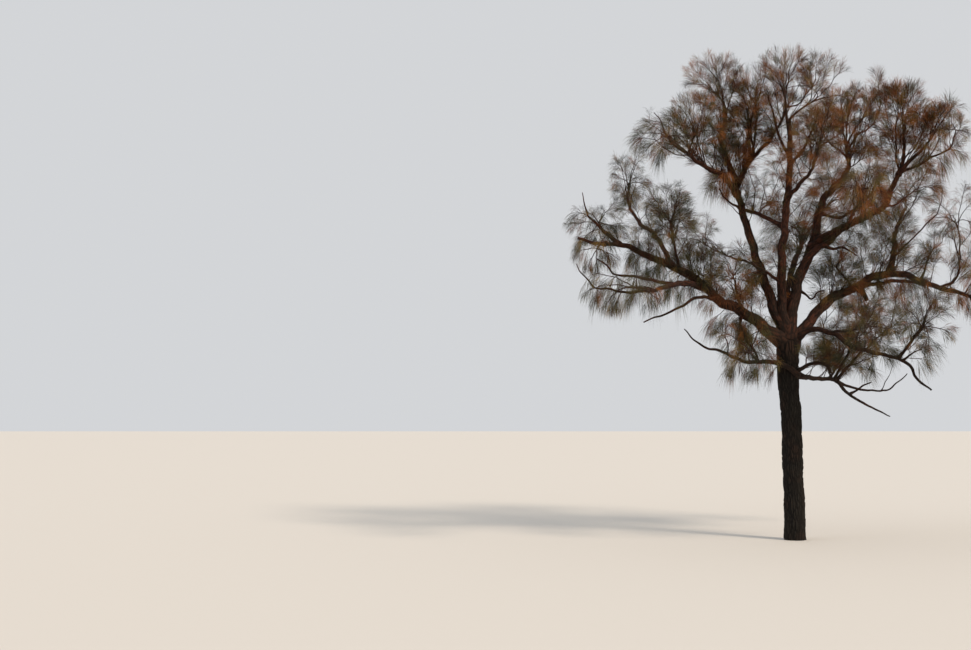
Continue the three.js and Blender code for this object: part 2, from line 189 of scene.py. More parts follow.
@dataclass(frozen=True, kw_only=True)
class CorkyBark(Finish):
    """Thick weathered cork bark, split lengthways into long plates.

    Its dead cork scatters light without gloss, so the eye reads the relief: near-black fissures, which are
    painted shade, duller grey-brown plates with random red-brown patches, and a warm red-brown high in the
    tree that grows with height as painted sunlight.
    """

    roughness: float = 0.93
    specular: float = 0.2
    # Painted shade: the near-black of the fissures between plates.
    fissure: str = "#120e0b"
    weathered: str
    # Red-brown, in random patches and, as painted warm sunlight, more of it with height.
    red_brown_patches_and_sun: str = "#532f20"
    painted_sun_from: float = 2.2
    painted_sun_to: float = 5.0
    patch_size_mm: float = 260
    patch_contrast: float = 2.2
    fibre_width_mm: float = 5
    fibre_stretch: float = 0.16
    fibre_tones: tuple[float, float] = (0.62, 1.3)
    fibre_relief: float = 0.6

    PATCH_DETAIL = 3
    FIBRE_DETAIL = 4
    MIDDLE_OF_NOISE = 0.5
    FIBRE_EDGES = (0.3, 0.7)

    def look(self, tree: bpy.types.NodeTree) -> dict:
        """Colours plates and fissures by the relief that the bark meshes carry, with painted shade in the
        fissures and painted sunlight that grows with height, and raises the fibres.
        """
        place = add_node(tree, "ShaderNodeTexCoord").outputs["Object"]
        height = add_node(tree, "ShaderNodeSeparateXYZ", {0: place}).outputs["Z"]
        patches = add_node(tree, "ShaderNodeTexNoise", {
            "Vector": place, "Scale": per_metre(self.patch_size_mm), "Detail": self.PATCH_DETAIL,
        }).outputs["Fac"]
        # The fibres of cork are under a millimetre, drawn coarser so that they show.
        stretched = add_node(tree, "ShaderNodeVectorMath", {
            0: place, 1: (1, 1, self.fibre_stretch),
        }, operation="MULTIPLY").outputs[0]
        fibres = add_node(tree, "ShaderNodeTexNoise", {
            "Vector": stretched, "Scale": per_metre(self.fibre_width_mm), "Detail": self.FIBRE_DETAIL,
        }).outputs["Fac"]
        # Painted sunlight: the red-brown grows with height between the two given heights, as warm light
        # catching the upper tree.
        climb = add_node(tree, "ShaderNodeMapRange", {
            "Value": height, "From Min": self.painted_sun_from, "From Max": self.painted_sun_to,
        }).outputs["Result"]
        mottled = add_node(tree, "ShaderNodeMath", {
            0: patches, 1: -self.MIDDLE_OF_NOISE,
        }, operation="ADD").outputs[0]
        patches_and_painted_sun = add_node(tree, "ShaderNodeMath", {
            0: mottled, 1: self.patch_contrast, 2: climb,
        }, operation="MULTIPLY_ADD", use_clamp=True).outputs[0]
        plate = add_node(tree, "ShaderNodeMixRGB", {
            "Fac": patches_and_painted_sun, "Color1": linear(self.weathered), "Color2": linear(self.red_brown_patches_and_sun),
        }).outputs[0]
        (low, high), (dull, bright) = self.FIBRE_EDGES, self.fibre_tones
        dusty = add_node(tree, "ShaderNodeMapRange", {
            "Value": fibres, "From Min": low, "From Max": high, "To Min": dull, "To Max": bright,
        }).outputs["Result"]
        worn = add_node(tree, "ShaderNodeMixRGB", {
            "Fac": 1, "Color1": plate, "Color2": dusty,
        }, blend_type="MULTIPLY").outputs[0]
        # Painted shade: where the relief is low, in the fissures, the colour is painted near-black.
        ridge = add_node(tree, "ShaderNodeAttribute", attribute_name=RELIEF).outputs["Fac"]
        colour = add_node(tree, "ShaderNodeMixRGB", {
            "Fac": ridge, "Color1": linear(self.fissure), "Color2": worn,
        }).outputs[0]
        bump = add_node(tree, "ShaderNodeBump", {
            "Height": fibres, "Strength": self.fibre_relief, "Distance": self.fibre_width_mm * MILLIMETRE / 2,
        }).outputs[0]
        return {"Base Color": colour, "Normal": bump}


@dataclass(frozen=True, kw_only=True)
class MottledSkin(Finish):
    """A dull plant skin of two tones, which change from place to place."""

    dark: str
    light: str
    mottle_size_mm: float

    MOTTLE_DETAIL = 2
    TONE_EDGES = (0.35, 0.65)

    def look(self, tree: bpy.types.NodeTree) -> dict:
        """Mixes the two tones in soft patches."""
        place = add_node(tree, "ShaderNodeTexCoord").outputs["Object"]
        mottle = add_node(tree, "ShaderNodeTexNoise", {
            "Vector": place, "Scale": per_metre(self.mottle_size_mm), "Detail": self.MOTTLE_DETAIL,
        }).outputs["Fac"]
        low, high = self.TONE_EDGES
        tone = add_node(tree, "ShaderNodeMapRange", {
            "Value": mottle, "From Min": low, "From Max": high,
        }).outputs["Result"]
        colour = add_node(tree, "ShaderNodeMixRGB", {
            "Fac": tone, "Color1": linear(self.dark), "Color2": linear(self.light),
        }).outputs[0]
        return {"Base Color": colour}


@dataclass(frozen=True, kw_only=True)
class TwigBark(MottledSkin):
    """Smooth new bark on stems, wands and sprigs, thinly waxed: a slight sheen on a red-brown ground."""

    name: str = "smooth_twig_bark"
    dark: str = "#20150f"
    light: str = "#452c1f"
    mottle_size_mm: float = 60
    roughness: float = 0.7
    specular: float = 0.15


@dataclass(frozen=True, kw_only=True)
class NeedleSkin(MottledSkin):
    """Grooved skin of the needle-like twigs, olive green in some tints and russet as painted warm sunlight in
    others: dull, with a faint waxy light along them. Its two tones are painted shade and painted light, mixed
    in random patches.
    """

    mottle_size_mm: float = 45
    roughness: float = 0.75
    specular: float = 0.12


@dataclass(frozen=True, kw_only=True)
class MattPaint(Finish):
    """Flat rolled floor paint: one even tone, which takes soft shadows and gives no highlight."""

    name: str = "matt_floor_paint"
    colour: str = "#cfcac2"
    roughness: float = 0.9
    specular: float = 0.5

    def look(self, tree: bpy.types.NodeTree) -> dict:
        """The one colour, which needs no node."""
        return {"Base Color": linear(self.colour)}


@dataclass
class Shape:
    """The points of a mesh, and its faces as arrays with one row of corners a face."""

    points: np.ndarray
    faces: list[np.ndarray]

    def triangles(self) -> int:
        """How many triangles the faces make."""
        return sum(len(part) * (part.shape[1] - 2) for part in self.faces)


@dataclass
class Piece:
    """One finished mesh of the tree, with what it stands for."""

    name: str
    shape: Shape
    material: bpy.types.Material
    slot: str
    nodes: list[str]
    ridge: np.ndarray | None = None

    def place(self) -> None:
        """Adds the mesh to the scene, on the tree's body and in place of its plain nodes."""
        mesh = bpy.data.meshes.new(self.name)
        corners = np.concatenate([part.ravel() for part in self.shape.faces]).astype(np.int32)
        sizes = np.concatenate([np.full(len(part), part.shape[1]) for part in self.shape.faces])
        starts = np.concatenate([[0], np.cumsum(sizes)[:-1]]).astype(np.int32)
        mesh.vertices.add(len(self.shape.points))
        mesh.vertices.foreach_set("co", self.shape.points.astype(np.float32).ravel())
        mesh.loops.add(len(corners))
        mesh.loops.foreach_set("vertex_index", corners)
        mesh.polygons.add(len(starts))
        mesh.polygons.foreach_set("loop_start", starts)
        mesh.update(calc_edges=True)
        mesh.shade_smooth()
        if self.ridge is not None:
            relief = mesh.attributes.new(RELIEF, "FLOAT", "POINT")
            relief.data.foreach_set("value", self.ridge.astype(np.float32))
        mesh.materials.append(self.material)
        made = add_object(self.name, mesh)
        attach(made, "root")
        if self.nodes:
            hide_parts(*self.nodes)
        LOG.info("%s: %d triangles", self.name, self.shape.triangles())


class Way:
    """A smooth way through a few points: the centripetal Catmull-Rom curve that the frame's limbs follow."""

    STEPS_A_SPAN = 24
    HEADING_STEP = 0.004
    SEARCH_STEPS = 400

    def __init__(self, points: list[Point | np.ndarray]) -> None:
        """Draws the way.

        Args:
            points: The points that it passes through, in order.
        """
        given = np.array(points, float)
        ends = np.vstack([2 * given[0] - given[1], given, 2 * given[-1] - given[-2]])
        self.line = np.vstack([self._span(*ends[i : i + 4]) for i in range(len(given) - 1)] + [given[-1:]])
        self.travelled = np.concatenate([[0], np.cumsum(np.linalg.norm(np.diff(self.line, axis=0), axis=1))])
        self.length = float(self.travelled[-1])

    def _span(self, before: np.ndarray, start: np.ndarray, end: np.ndarray, after: np.ndarray) -> np.ndarray:
        """The points from start up to end, between the neighbours before and after."""
        gaps = [math.sqrt(np.linalg.norm(b - a)) for a, b in ((before, start), (start, end), (end, after))]
        first, gap, last = gaps
        leaving = (start - before) / first - (end - before) / (first + gap) + (end - start) / gap
        arriving = (end - start) / gap - (after - start) / (gap + last) + (after - end) / last
        leaving *= gap
        arriving *= gap
        t = np.linspace(0, 1, self.STEPS_A_SPAN, endpoint=False)[:, None]
        bend = 3 * (end - start) - 2 * leaving - arriving
        twist = 2 * (start - end) + leaving + arriving
        return start + leaving * t + bend * t**2 + twist * t**3

    def gnarled(self, sway: float, spacing: float) -> "Way":
        """Kinks the way as old limbs are, but for its first stretch.

        Args:
            sway: How far it strays.
            spacing: How far apart its kinks lie.

        Returns:
            The same way, kinked.
        """
        drift = [noise.noise_vector([part / spacing for part in point]) for point in self.line.tolist()]
        share = np.minimum(self.travelled / spacing, 1)[:, None]
        self.line = self.line + sway * share * np.array(drift)
        return self

    def at(self, shares: np.ndarray | float) -> np.ndarray:
        """The points at shares of the length."""
        travelled = np.asarray(shares, float) * self.length
        return np.stack([np.interp(travelled, self.travelled, self.line[:, i]) for i in range(3)], axis=-1)

    def heading(self, shares: np.ndarray | float) -> np.ndarray:
        """The directions of travel at shares of the length."""
        ahead = self.at(np.minimum(np.asarray(shares) + self.HEADING_STEP, 1))
        behind = self.at(np.maximum(np.asarray(shares) - self.HEADING_STEP, 0))
        return unit(ahead - behind)

    def nearest(self, target: np.ndarray) -> float:
        """The share of the way whose point lies nearest to a target."""
        shares = np.linspace(0, 1, self.SEARCH_STEPS + 1)
        return float(shares[np.argmin(np.linalg.norm(self.at(shares) - target, axis=1))])


def unit(vectors: np.ndarray) -> np.ndarray:
    """Vectors scaled to a length of one."""
    return vectors / np.maximum(np.linalg.norm(vectors, axis=-1, keepdims=True), TINY)


def smoothstep(value: np.ndarray, low: float, high: float) -> np.ndarray:
    """A smooth climb from 0 at low to 1 at high."""
    share = np.clip((value - low) / (high - low), 0, 1)
    return share * share * (3 - 2 * share)


# The most of a heading that may lie along X where X is used to find what lies across it.
MOST_ALONG_X = 0.8


def across(headings: np.ndarray) -> tuple[np.ndarray, np.ndarray]:
    """Two directions at right angles to each heading and to each other."""
    helper = np.where(np.abs(headings[..., :1]) < MOST_ALONG_X, ALONG_X, ALONG_Y)
    first = unit(np.cross(headings, helper))
    return first, np.cross(headings, first)


@dataclass(frozen=True)
class BarkRelief:
    """How bark stands out: the width, length and depth of its plates, and the mesh that carries them."""

    plate_width: float
    plate_length: float
    depth: float
    side_step: float
    ring_step: float
    knob_spacing: float = 3.5

    WANDER = 0.55
    PLATE_EDGE = 3.2
    RIDGE_LEVEL = 0.55
    KNOB_HEIGHT = 0.09
    KNOB_ROUND = 0.5
    DRIFT_SCALE = 0.6
    PLATE_TONE = 0.82
    PLATE_UNEVENNESS = 0.36

    def ridges(self, places: np.ndarray) -> np.ndarray:
        """How far up the plates the points lie.

        Args:
            places: Points in plate widths round the bar and plate lengths along it.

        Returns:
            For each point 0 in a fissure, up to 1 on a plate.
        """
        found = np.empty(len(places))
        for i, place in enumerate(places.tolist()):
            drift = noise.noise_vector([part * self.DRIFT_SCALE for part in place])
            moved = [part + self.WANDER * shift for part, shift in zip(place, drift)]
            near, second = noise.voronoi(moved)[0][:2]
            evenness = self.PLATE_TONE + self.PLATE_UNEVENNESS * noise.noise(moved)
            found[i] = min(1.0, self.PLATE_EDGE * (second - near)) * evenness
        return found

    def knobs(self, round_way: np.ndarray, travelled: np.ndarray, radius: float) -> np.ndarray:
        """How far a bar swells and shrinks where old knots lie under the bark.

        Args:
            round_way: Cosine and sine of the angle round the bar, for each ring and side.
            travelled: How far along the bar each ring lies.
            radius: The bar's middle radius.

        Returns:
            A factor on the radius for each ring and side.
        """
        along = travelled / (self.knob_spacing * radius)
        rings = zip(along.tolist(), (round_way * self.KNOB_ROUND).tolist())
        swell = [[noise.noise((c, s, place)) for c, s in ring] for place, ring in rings]
        return 1 + self.KNOB_HEIGHT * np.array(swell)


Radius = Callable[[np.ndarray, np.ndarray], np.ndarray]
# How far the bark's pattern moves on for each metre of length, so that no two limbs share it.
BARK_SHIFT = 7.3
FEWEST_RINGS = 6
FEWEST_SIDES = 10
# The share of its way at which a bar's middle radius is taken.
MIDWAY = np.array([[0.5]])
# The most of a bar's first heading that may lie along X where the bar's sides are counted from X.
MOST_ALONG_X_AT_ROOT = 0.9


def barked_bar(way: Way, radius_at: Radius, bark: BarkRelief, first: float = 0.0) -> tuple[Shape, np.ndarray]:
    """A closed round bar with bark relief along a way.

    Args:
        way: The bar's axis.
        radius_at: The radius at shares of the way and angles round it.
        bark: The relief on it.
        first: The share of the way at which the bar starts.

    Returns:
        Its shape, and how far up the plates each point lies.
    """
    rings = max(FEWEST_RINGS, math.ceil(way.length / bark.ring_step))
    shares = np.linspace(first, 1, rings + 1)
    middle_radius = float(radius_at(MIDWAY, np.zeros((1, 1)))[0, 0])
    sides = max(FEWEST_SIDES, round(FULL_TURN * middle_radius / bark.side_step))
    angles = np.linspace(0, FULL_TURN, sides, endpoint=False)
    headings = way.heading(shares)
    normals = np.empty_like(headings)
    normal = ALONG_X if abs(headings[0][0]) < MOST_ALONG_X_AT_ROOT else UP
    for i, heading in enumerate(headings):
        normal = unit(normal - heading * float(normal @ heading))
        normals[i] = normal
    others = np.cross(headings, normals)
    cosines, sines = np.cos(angles), np.sin(angles)
    out = cosines[None, :, None] * normals[:, None] + sines[None, :, None] * others[:, None]
    radii = radius_at(shares[:, None], angles[None, :])
    grid = (rings + 1, sides)
    round_way = np.broadcast_to(np.stack([cosines, sines], axis=-1), (*grid, 2))
    travelled = shares * way.length
    climbed = np.broadcast_to((travelled / bark.plate_length)[:, None, None], (*grid, 1))
    places = np.concatenate([round_way * middle_radius / bark.plate_width, climbed], axis=-1)
    places = places.reshape(-1, 3) + BARK_SHIFT * way.length
    ridge = bark.ridges(places).reshape(grid)
    radii = radii * bark.knobs(round_way, travelled, middle_radius)
    depth = bark.depth * np.minimum(1, radii / middle_radius)
    points = way.at(shares)[:, None, :] + out * (radii + depth * (ridge - bark.RIDGE_LEVEL))[..., None]
    here = np.arange(rings)[:, None] * sides + np.arange(sides)
    after = np.roll(here, -1, axis=1)
    walls = np.stack([here, after, after + sides, here + sides], axis=-1).reshape(-1, 4)
    start = np.arange(sides)[::-1][None]
    end = (rings * sides + np.arange(sides))[None]
    return Shape(points.reshape(-1, 3), [walls, start, end]), ridge.ravel()


@dataclass(frozen=True)
class Trunk:
    """The single trunk: near straight, with low root lobes at its foot and a swelling below the fork."""

    path: tuple[Point, ...] = (
        (0, 0, -0.08), (0.01, 0, 0.32), (-0.005, 0, 1.0), (-0.01, 0, 1.86), (-0.04, 0, 2.37),
        (-0.04, 0, 2.8), (-0.06, 0, 3.14),
    )
    radius: float = 0.145
    fork_radius: float = 0.165
    top_radius: float = 0.07
    root_flare: float = 0.14
    flare_height: float = 0.26
    root_lobes: int = 5
    below_ground: float = 0.08
    swell_from: float = 2.2
    swell_to: float = 2.8
    close_from: float = 2.88
    bark: BarkRelief = BarkRelief(
        plate_width=0.028, plate_length=0.15, depth=0.019, side_step=0.0052, ring_step=0.013, knob_spacing=1.7
    )

    LOBE_MIDDLE = 0.7
    LOBE_HEIGHT = 0.3
    # The part of the axis that surely crosses the ground, and in how many steps it is searched.
    FOOT_SHARE = 0.1
    FOOT_STEPS = 100

    @cached_property
    def way(self) -> Way:
        """The trunk's axis, from below the ground into the fork."""
        return Way(list(self.path))

    def girth(self, _share: float) -> float:
        """The rough radius where limbs leave the trunk."""
        return self.radius

    def radius_at(self, shares: np.ndarray, angles: np.ndarray) -> np.ndarray:
        """The radius at shares of the axis and angles round it."""
        top = self.path[-1][2]
        height = shares * (top + self.below_ground) - self.below_ground
        lobes = self.LOBE_MIDDLE + self.LOBE_HEIGHT * np.cos(self.root_lobes * angles)
        flare = self.root_flare * np.exp(-height / self.flare_height) * lobes
        swell = smoothstep(height, self.swell_from, self.swell_to) * (self.fork_radius - self.radius)
        closing = smoothstep(height, self.close_from, top) * (self.fork_radius - self.top_radius)
        return self.radius * (1 + flare) + swell - closing

    def build(self, material: bpy.types.Material) -> Piece:
        """Makes the trunk, cut flat at the ground."""
        first = np.linspace(0, self.FOOT_SHARE, self.FOOT_STEPS + 1)
        ground = float(np.interp(0.0, self.way.at(first)[:, 2], first))
        shape, ridge = barked_bar(self.way, self.radius_at, self.bark, ground)
        foot = len(shape.faces[1][0])
        shape.points[:foot, 2] = 0
        shape.points[:, 2] = np.maximum(shape.points[:, 2], 0)
        return Piece("bark_trunk", shape, material, "lower_bark", ["trunk"], ridge)


@dataclass
class Limb:
    """A bough, limb or dead branch: one tapering bar that starts on the axis of what carries it."""

    name: str
    root_radius: float
    tip_radius: float
    way: Way
    carrier_radius: float

    SWAY = 0.015
    SWAY_RADII = 0.36
    KINK_SPACING = 0.13
    COLLAR = 0.3
    COLLAR_RADII = 3
    FILLET = 0.28
    FILLET_SHARPNESS = 4
    TAPER_POWER = 0.85
    # The least size of each part of the bark's relief, and its size as a share of the root's radius.
    RELIEF_SIZES = {
        "plate_width": (0.012, 0.3),
        "plate_length": (0.06, 1.5),
        "depth": (0.003, 0.11),
        "side_step": (0.0075, 0.09),
        "ring_step": (0.018, 0.27),
    }

    @classmethod
    def on(cls, carrier: "Trunk | Limb", name: str, root: float, tip: float, points: list[Point]) -> "Limb":
        """Starts a limb on its carrier's axis.

        Args:
            carrier: The trunk or the limb that carries it.
            name: Its name.
            root: Its radius at the root.
            tip: Its radius at the tip.
            points: The points that it passes through, of which the first is moved to the carrier's axis.

        Returns:
            The limb on its way.
        """
        share = carrier.way.nearest(np.array(points[0]))
        thickness = (root + tip) / 2
        sway = cls.SWAY + cls.SWAY_RADII * thickness
        way = Way([carrier.way.at(share), *points[1:]]).gnarled(sway, cls.KINK_SPACING + 2 * thickness)
        return cls(name, root, tip, way, carrier.girth(share))

    def radius_at(self, shares: np.ndarray, angles: np.ndarray) -> np.ndarray:
        """The radius at shares of the way, the same at every angle."""
        root, tip = self.root_radius, self.tip_radius
        travelled = shares * self.way.length
        collar = self.COLLAR * root * np.exp(-((travelled / (self.COLLAR_RADII * root)) ** 2))
        beyond = np.maximum(travelled - self.carrier_radius, 0) / (self.carrier_radius + root)
        fillet = self.FILLET * root * np.exp(-(beyond**2) * self.FILLET_SHARPNESS)
        taper = (root - tip) * (1 - shares) ** self.TAPER_POWER
        return np.broadcast_to(tip + taper + collar + fillet, np.broadcast_shapes(shares.shape, angles.shape))

    def girth(self, share: float) -> float:
        """The radius at one share of the way."""
        return float(self.radius_at(np.array([[share]]), np.zeros((1, 1)))[0, 0])

    def bark(self) -> BarkRelief:
        """The relief that suits the limb's thickness."""
        root = self.root_radius
        sizes = {part: max(least, share * root) for part, (least, share) in self.RELIEF_SIZES.items()}
        return BarkRelief(**sizes)

    def build(self, material: bpy.types.Material) -> Piece:
        """Makes the limb with its bark."""
        shape, ridge = barked_bar(self.way, self.radius_at, self.bark())
        nodes = [self.name] if self.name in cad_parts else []
        return Piece(f"bark_{self.name}", shape, material, "upper_bark", nodes, ridge)


@dataclass(frozen=True)
class Mass:
    """One mass of foliage: the limb whose tip carries it, its middle, its reach and how far it hangs."""

    name: str
    carrier: str
    middle: Point
    reach: Point
    droop: float
    painted_crown_light: PaintedCrownLight
    fullness: float = 1

    def node(self) -> str:
        """The plain node that stands for the mass in the frame."""
        return f"foliage_{self.name}"


@dataclass(frozen=True)
class Fringe:
    """Short wands that grow straight from a stretch of a limb."""

    carrier: str
    first: float
    last: float
    count: int
    length: float
    droop: float
    painted_crown_light: PaintedCrownLight


class Chance:
    """The frame's own chance numbers: each is the last times a factor, modulo a prime."""

    FACTOR = 48271
    PRIME = 2147483647

    def __init__(self, seed: int) -> None:
        """Starts from a seed."""
        self.state = seed

    def between(self, low: float, high: float) -> float:
        """The next number between two."""
        self.state = (self.state * self.FACTOR) % self.PRIME
        return low + (high - low) * self.state / self.PRIME


@dataclass
class Twigs:
    """Twigs of one order.

    Attributes:
        lines: Points along each twig, from root to tip, with shape (twigs, points, 3).
        girths: Radius of each twig at its root and at its tip.
        droop: How far what grows on each twig hangs, 0 to 1.
        tint: Which Tint the spray that each twig belongs to has, by its order.
        mass: Which mass each twig belongs to, or NO_MASS for a fringe.
    """

    lines: np.ndarray
    girths: np.ndarray
    droop: np.ndarray
    tint: np.ndarray
    mass: np.ndarray

    # The row after the masses' own, counted from the end.
    NO_MASS = -1

    @classmethod
    def joined(cls, groups: list["Twigs"]) -> "Twigs":
        """Several groups of twigs as one."""
        return cls(*(np.concatenate([getattr(group, part) for group in groups]) for part in cls.parts()))

    @classmethod
    def parts(cls) -> list[str]:
        """The names of the arrays."""
        return [part.name for part in fields(cls)]

    def kept(self, rows: np.ndarray) -> "Twigs":
        """The twigs of the rows that are true."""
        return Twigs(*(getattr(self, part)[rows] for part in self.parts()))

    def at(self, places: np.ndarray) -> tuple[np.ndarray, np.ndarray]:
        """Points and headings on the twigs.

        Args:
            places: Shares of each twig's length, one row a twig.

        Returns:
            The points and the unit headings there.
        """
        spans = self.lines.shape[1] - 1
        span = np.minimum((places * spans).astype(int), spans - 1)
        rows = np.arange(len(self.lines))[:, None]
        start = self.lines[rows, span]
        step = self.lines[rows, span + 1] - start
        return start + step * (places * spans - span)[..., None], unit(step)

    def lengths(self) -> np.ndarray:
        """Straight length of each twig."""
        return np.linalg.norm(self.lines[:, -1] - self.lines[:, 0], axis=1)


@dataclass(frozen=True)
class Growth:
    """How one order of twigs grows on the last.

    Attributes:
        count: How many grow on each parent.
        first: Share of an upright parent's length below which it stays bare.
        first_hanging: The same share on a parent that hangs.
        whorls: How many bunches they are gathered in, or 0 for an even spread.
        splay: Angle from the parent's heading, in radians.
        length_spread: How much their lengths differ.
        rise: How far they turn upwards where they do not hang.
        weep: How far they bend down along their length.
        points: Points on each line.
        tip_share: The splay at the parent's tip, as a share of that at its root.
    """

    count: int
    first: float
    first_hanging: float
    whorls: int
    splay: float
    length_spread: float
    rise: float
    weep: float
    points: int
    tip_share: float = 0.6

    BUNCH_WIDTH = 0.4
    FURTHEST = 0.999
    SPIN_SPREAD = 0.3
    SPLAY_SPREAD = (0.6, 1.35)
    ROOT_SPLAY = 1.2
    HANG = 0.3
    LEAST_WEEP = 0.15
    WEEP_SPREAD = (0.6, 1.3)
    SAG = 0.85

    def grow(
        self, parents: Twigs, lengths: np.ndarray, random: np.random.Generator
    ) -> tuple[np.ndarray, np.ndarray]:
        """Grows the next order of twigs.

        Args:
            parents: The twigs that carry them.
            lengths: Mean length of what each parent carries.
            random: The source of chance.

        Returns:
            The lines of the new twigs, and the row of each one's parent.
        """
        total = len(parents.lines)
        shape = (total, self.count)
        droop = parents.droop[:, None]
        steps = (np.arange(self.count) + random.random(shape)) / self.count
        if self.whorls:
            bunch = np.floor(steps * self.whorls)
            within = (steps * self.whorls - bunch - 1) * self.BUNCH_WIDTH + 1
            steps += ((bunch + within) / self.whorls - steps) * (1 - droop)
        first = self.first + (self.first_hanging - self.first) * droop
        places = np.minimum(first + (1 - first) * steps, self.FURTHEST)
        roots, headings = parents.at(places)
        spins = GOLDEN_ANGLE * np.arange(self.count) + random.uniform(0, FULL_TURN, (total, 1))
        spins += random.normal(0, self.SPIN_SPREAD, shape)
        side, other = across(headings)
        aside = side * np.cos(spins)[..., None] + other * np.sin(spins)[..., None]
        closing = self.ROOT_SPLAY - (1 - self.tip_share) * places
        splay = (self.splay * random.uniform(*self.SPLAY_SPREAD, shape) * closing)[..., None]
        lift = self.rise * (1 - droop) - self.HANG * droop
        ways = unit(headings * np.cos(splay) + aside * np.sin(splay) + UP * lift[..., None])
        long = lengths[:, None] * random.uniform(1 - self.length_spread, 1 + self.length_spread, shape)
        weep = self.weep * (self.LEAST_WEEP + (1 - self.LEAST_WEEP) * droop)
        weep = np.clip(weep * random.uniform(*self.WEEP_SPREAD, shape), 0, 1)[..., None, None]
        shares = np.linspace(0, 1, self.points)[:, None]
        bend = weep * shares**2
        drawn = ways[:, :, None, :] * (shares - bend / 2) - UP * self.SAG * bend
        lines = roots[:, :, None, :] + long[..., None, None] * drawn
        return lines.reshape(-1, self.points, 3), np.repeat(np.arange(total), self.count)


def slim_solids(lines: np.ndarray, radii: np.ndarray, sides: int) -> Shape:
    """Closed slim solids, each a row of rings between two points.

    Args:
        lines: Centres of the two end points and the rings between, with shape (solids, points, 3).
        radii: Radius at each centre, of which the two ends are not used.
        sides: Corners of a ring.

    Returns:
        All the solids as one shape.
    """
    total, points = lines.shape[:2]
    rings = points - 2
    headings = unit(np.gradient(lines, axis=1))
    side, other = across(headings[:, 1:-1])
    angles = np.arange(sides) * FULL_TURN / sides
    out = side[:, :, None, :] * np.cos(angles)[:, None] + other[:, :, None, :] * np.sin(angles)[:, None]
    walls = lines[:, 1:-1, None, :] + out * radii[:, 1:-1, None, None]
    places = np.concatenate([lines[:, :1], walls.reshape(total, rings * sides, 3), lines[:, -1:]], axis=1)
    here = np.arange(sides)
    after = (here + 1) % sides
    root = np.zeros_like(here)
    tip = root + 1 + rings * sides
    faces = [np.stack([root, 1 + after, 1 + here], axis=-1)]
    for ring in range(rings - 1):
        low = 1 + ring * sides
        faces.append(np.stack([low + here, low + after, low + sides + here], axis=-1))
        faces.append(np.stack([low + after, low + sides + after, low + sides + here], axis=-1))
    faces.append(np.stack([tip - sides + here, tip - sides + after, tip], axis=-1))
    one = np.concatenate(faces)
    every = (one[None] + places.shape[1] * np.arange(total)[:, None, None]).reshape(-1, 3)
    return Shape(places.reshape(-1, 3), [every])


def thin_blades(lines: np.ndarray, half_width: np.ndarray, spins: np.ndarray) -> Shape:
    """Thin pointed blades of two faces, each bent once at its widest place.

    Args:
        lines: Root, widest place and tip of each blade, with shape (blades, 3, 3).
        half_width: Half the width of each.
        spins: How far each is turned about its own length.

    Returns:
        All the blades as one shape.
    """
    side, other = across(unit(lines[:, 2] - lines[:, 0]))
    out = (side * np.cos(spins)[:, None] + other * np.sin(spins)[:, None]) * half_width[:, None]
    points = np.stack([lines[:, 0], lines[:, 1] + out, lines[:, 1] - out, lines[:, 2]], axis=1)
    corners = np.array([[0, 1, 2], [1, 3, 2]])
    faces = (corners[None] + points.shape[1] * np.arange(len(lines))[:, None, None]).reshape(-1, 3)
    return Shape(points.reshape(-1, 3), [faces])


@dataclass(frozen=True)
class Strands:
    """The needle-like twigs on each sprig.

    Real ones are 1 to 1.5 mm thick. These are fewer, and wider only as far as their count needs.
    """

    growth: Growth = Growth(
        count=34, first=0.3, first_hanging=0.1, whorls=0, splay=0.5, length_spread=0.35, rise=0.12, weep=0.75,
        points=3, tip_share=0.5,
    )
    shortest: float = 0.11
    longest: float = 0.23
    hang_length: float = 1.6
    half_width: float = 0.0015

    def grow(self, sprigs: Twigs, random: np.random.Generator) -> Twigs:
        """Grows strands all along the sprigs.

        Args:
            sprigs: The twigs that carry them.
            random: The source of chance.

        Returns:
            The strands as twigs of the last order.
        """
        mean = random.uniform(self.shortest, self.longest, len(sprigs.lines))
        mean = mean * (1 + (self.hang_length - 1) * sprigs.droop)
        lines, rows = self.growth.grow(sprigs, mean, random)
        girths = np.full((len(lines), 2), self.half_width)
        return Twigs(lines, girths, sprigs.droop[rows], sprigs.tint[rows], sprigs.mass[rows])


@dataclass(frozen=True)
class Sprigs:
    """The thin side twigs that wands carry on their outer half, each with a spray of strands."""

    growth: Growth = Growth(
        count=10, first=0.62, first_hanging=0.3, whorls=3, splay=0.7, length_spread=0.3, rise=0.35, weep=0.5,
        points=3,
    )
    length: float = 0.04
    length_a_wand: float = 0.3
    longest: float = 0.25
    root_radius: float = 0.0032
    tip_radius: float = 0.0014
    full_wand: float = 0.42
    least_full: float = 0.35

    def grow(self, wands: Twigs, random: np.random.Generator) -> Twigs:
        """Grows sprigs, fewer of them on short wands, and deals each spray its tint.

        Args:
            wands: The twigs that carry them, whose tint still holds their mass's colouring: olive where
                painted as shaded, russet as painted sunlight.
            random: The source of chance.

        Returns:
            The sprigs.
        """
        long = np.minimum(self.length_a_wand * wands.lengths() + self.length, self.longest)
        lines, rows = self.growth.grow(wands, long, random)
        # Painted light: shaded olive masses draw more deep tints, sunlit russet masses more russet and
        # copper.
        chances = np.cumsum([SHARES_OF_TINTS[painted_crown_light] for painted_crown_light in PaintedCrownLight], axis=1)[wands.tint[rows]]
        tint = np.minimum((random.random(len(rows))[:, None] > chances).sum(axis=1), len(Tint) - 1)
        girths = np.tile([self.root_radius, self.tip_radius], (len(rows), 1))
        made = Twigs(lines, girths, wands.droop[rows], tint, wands.mass[rows])
        fullness = np.clip(wands.lengths()[rows] / self.full_wand, self.least_full, 1)
        return made.kept(random.random(len(rows)) < fullness)


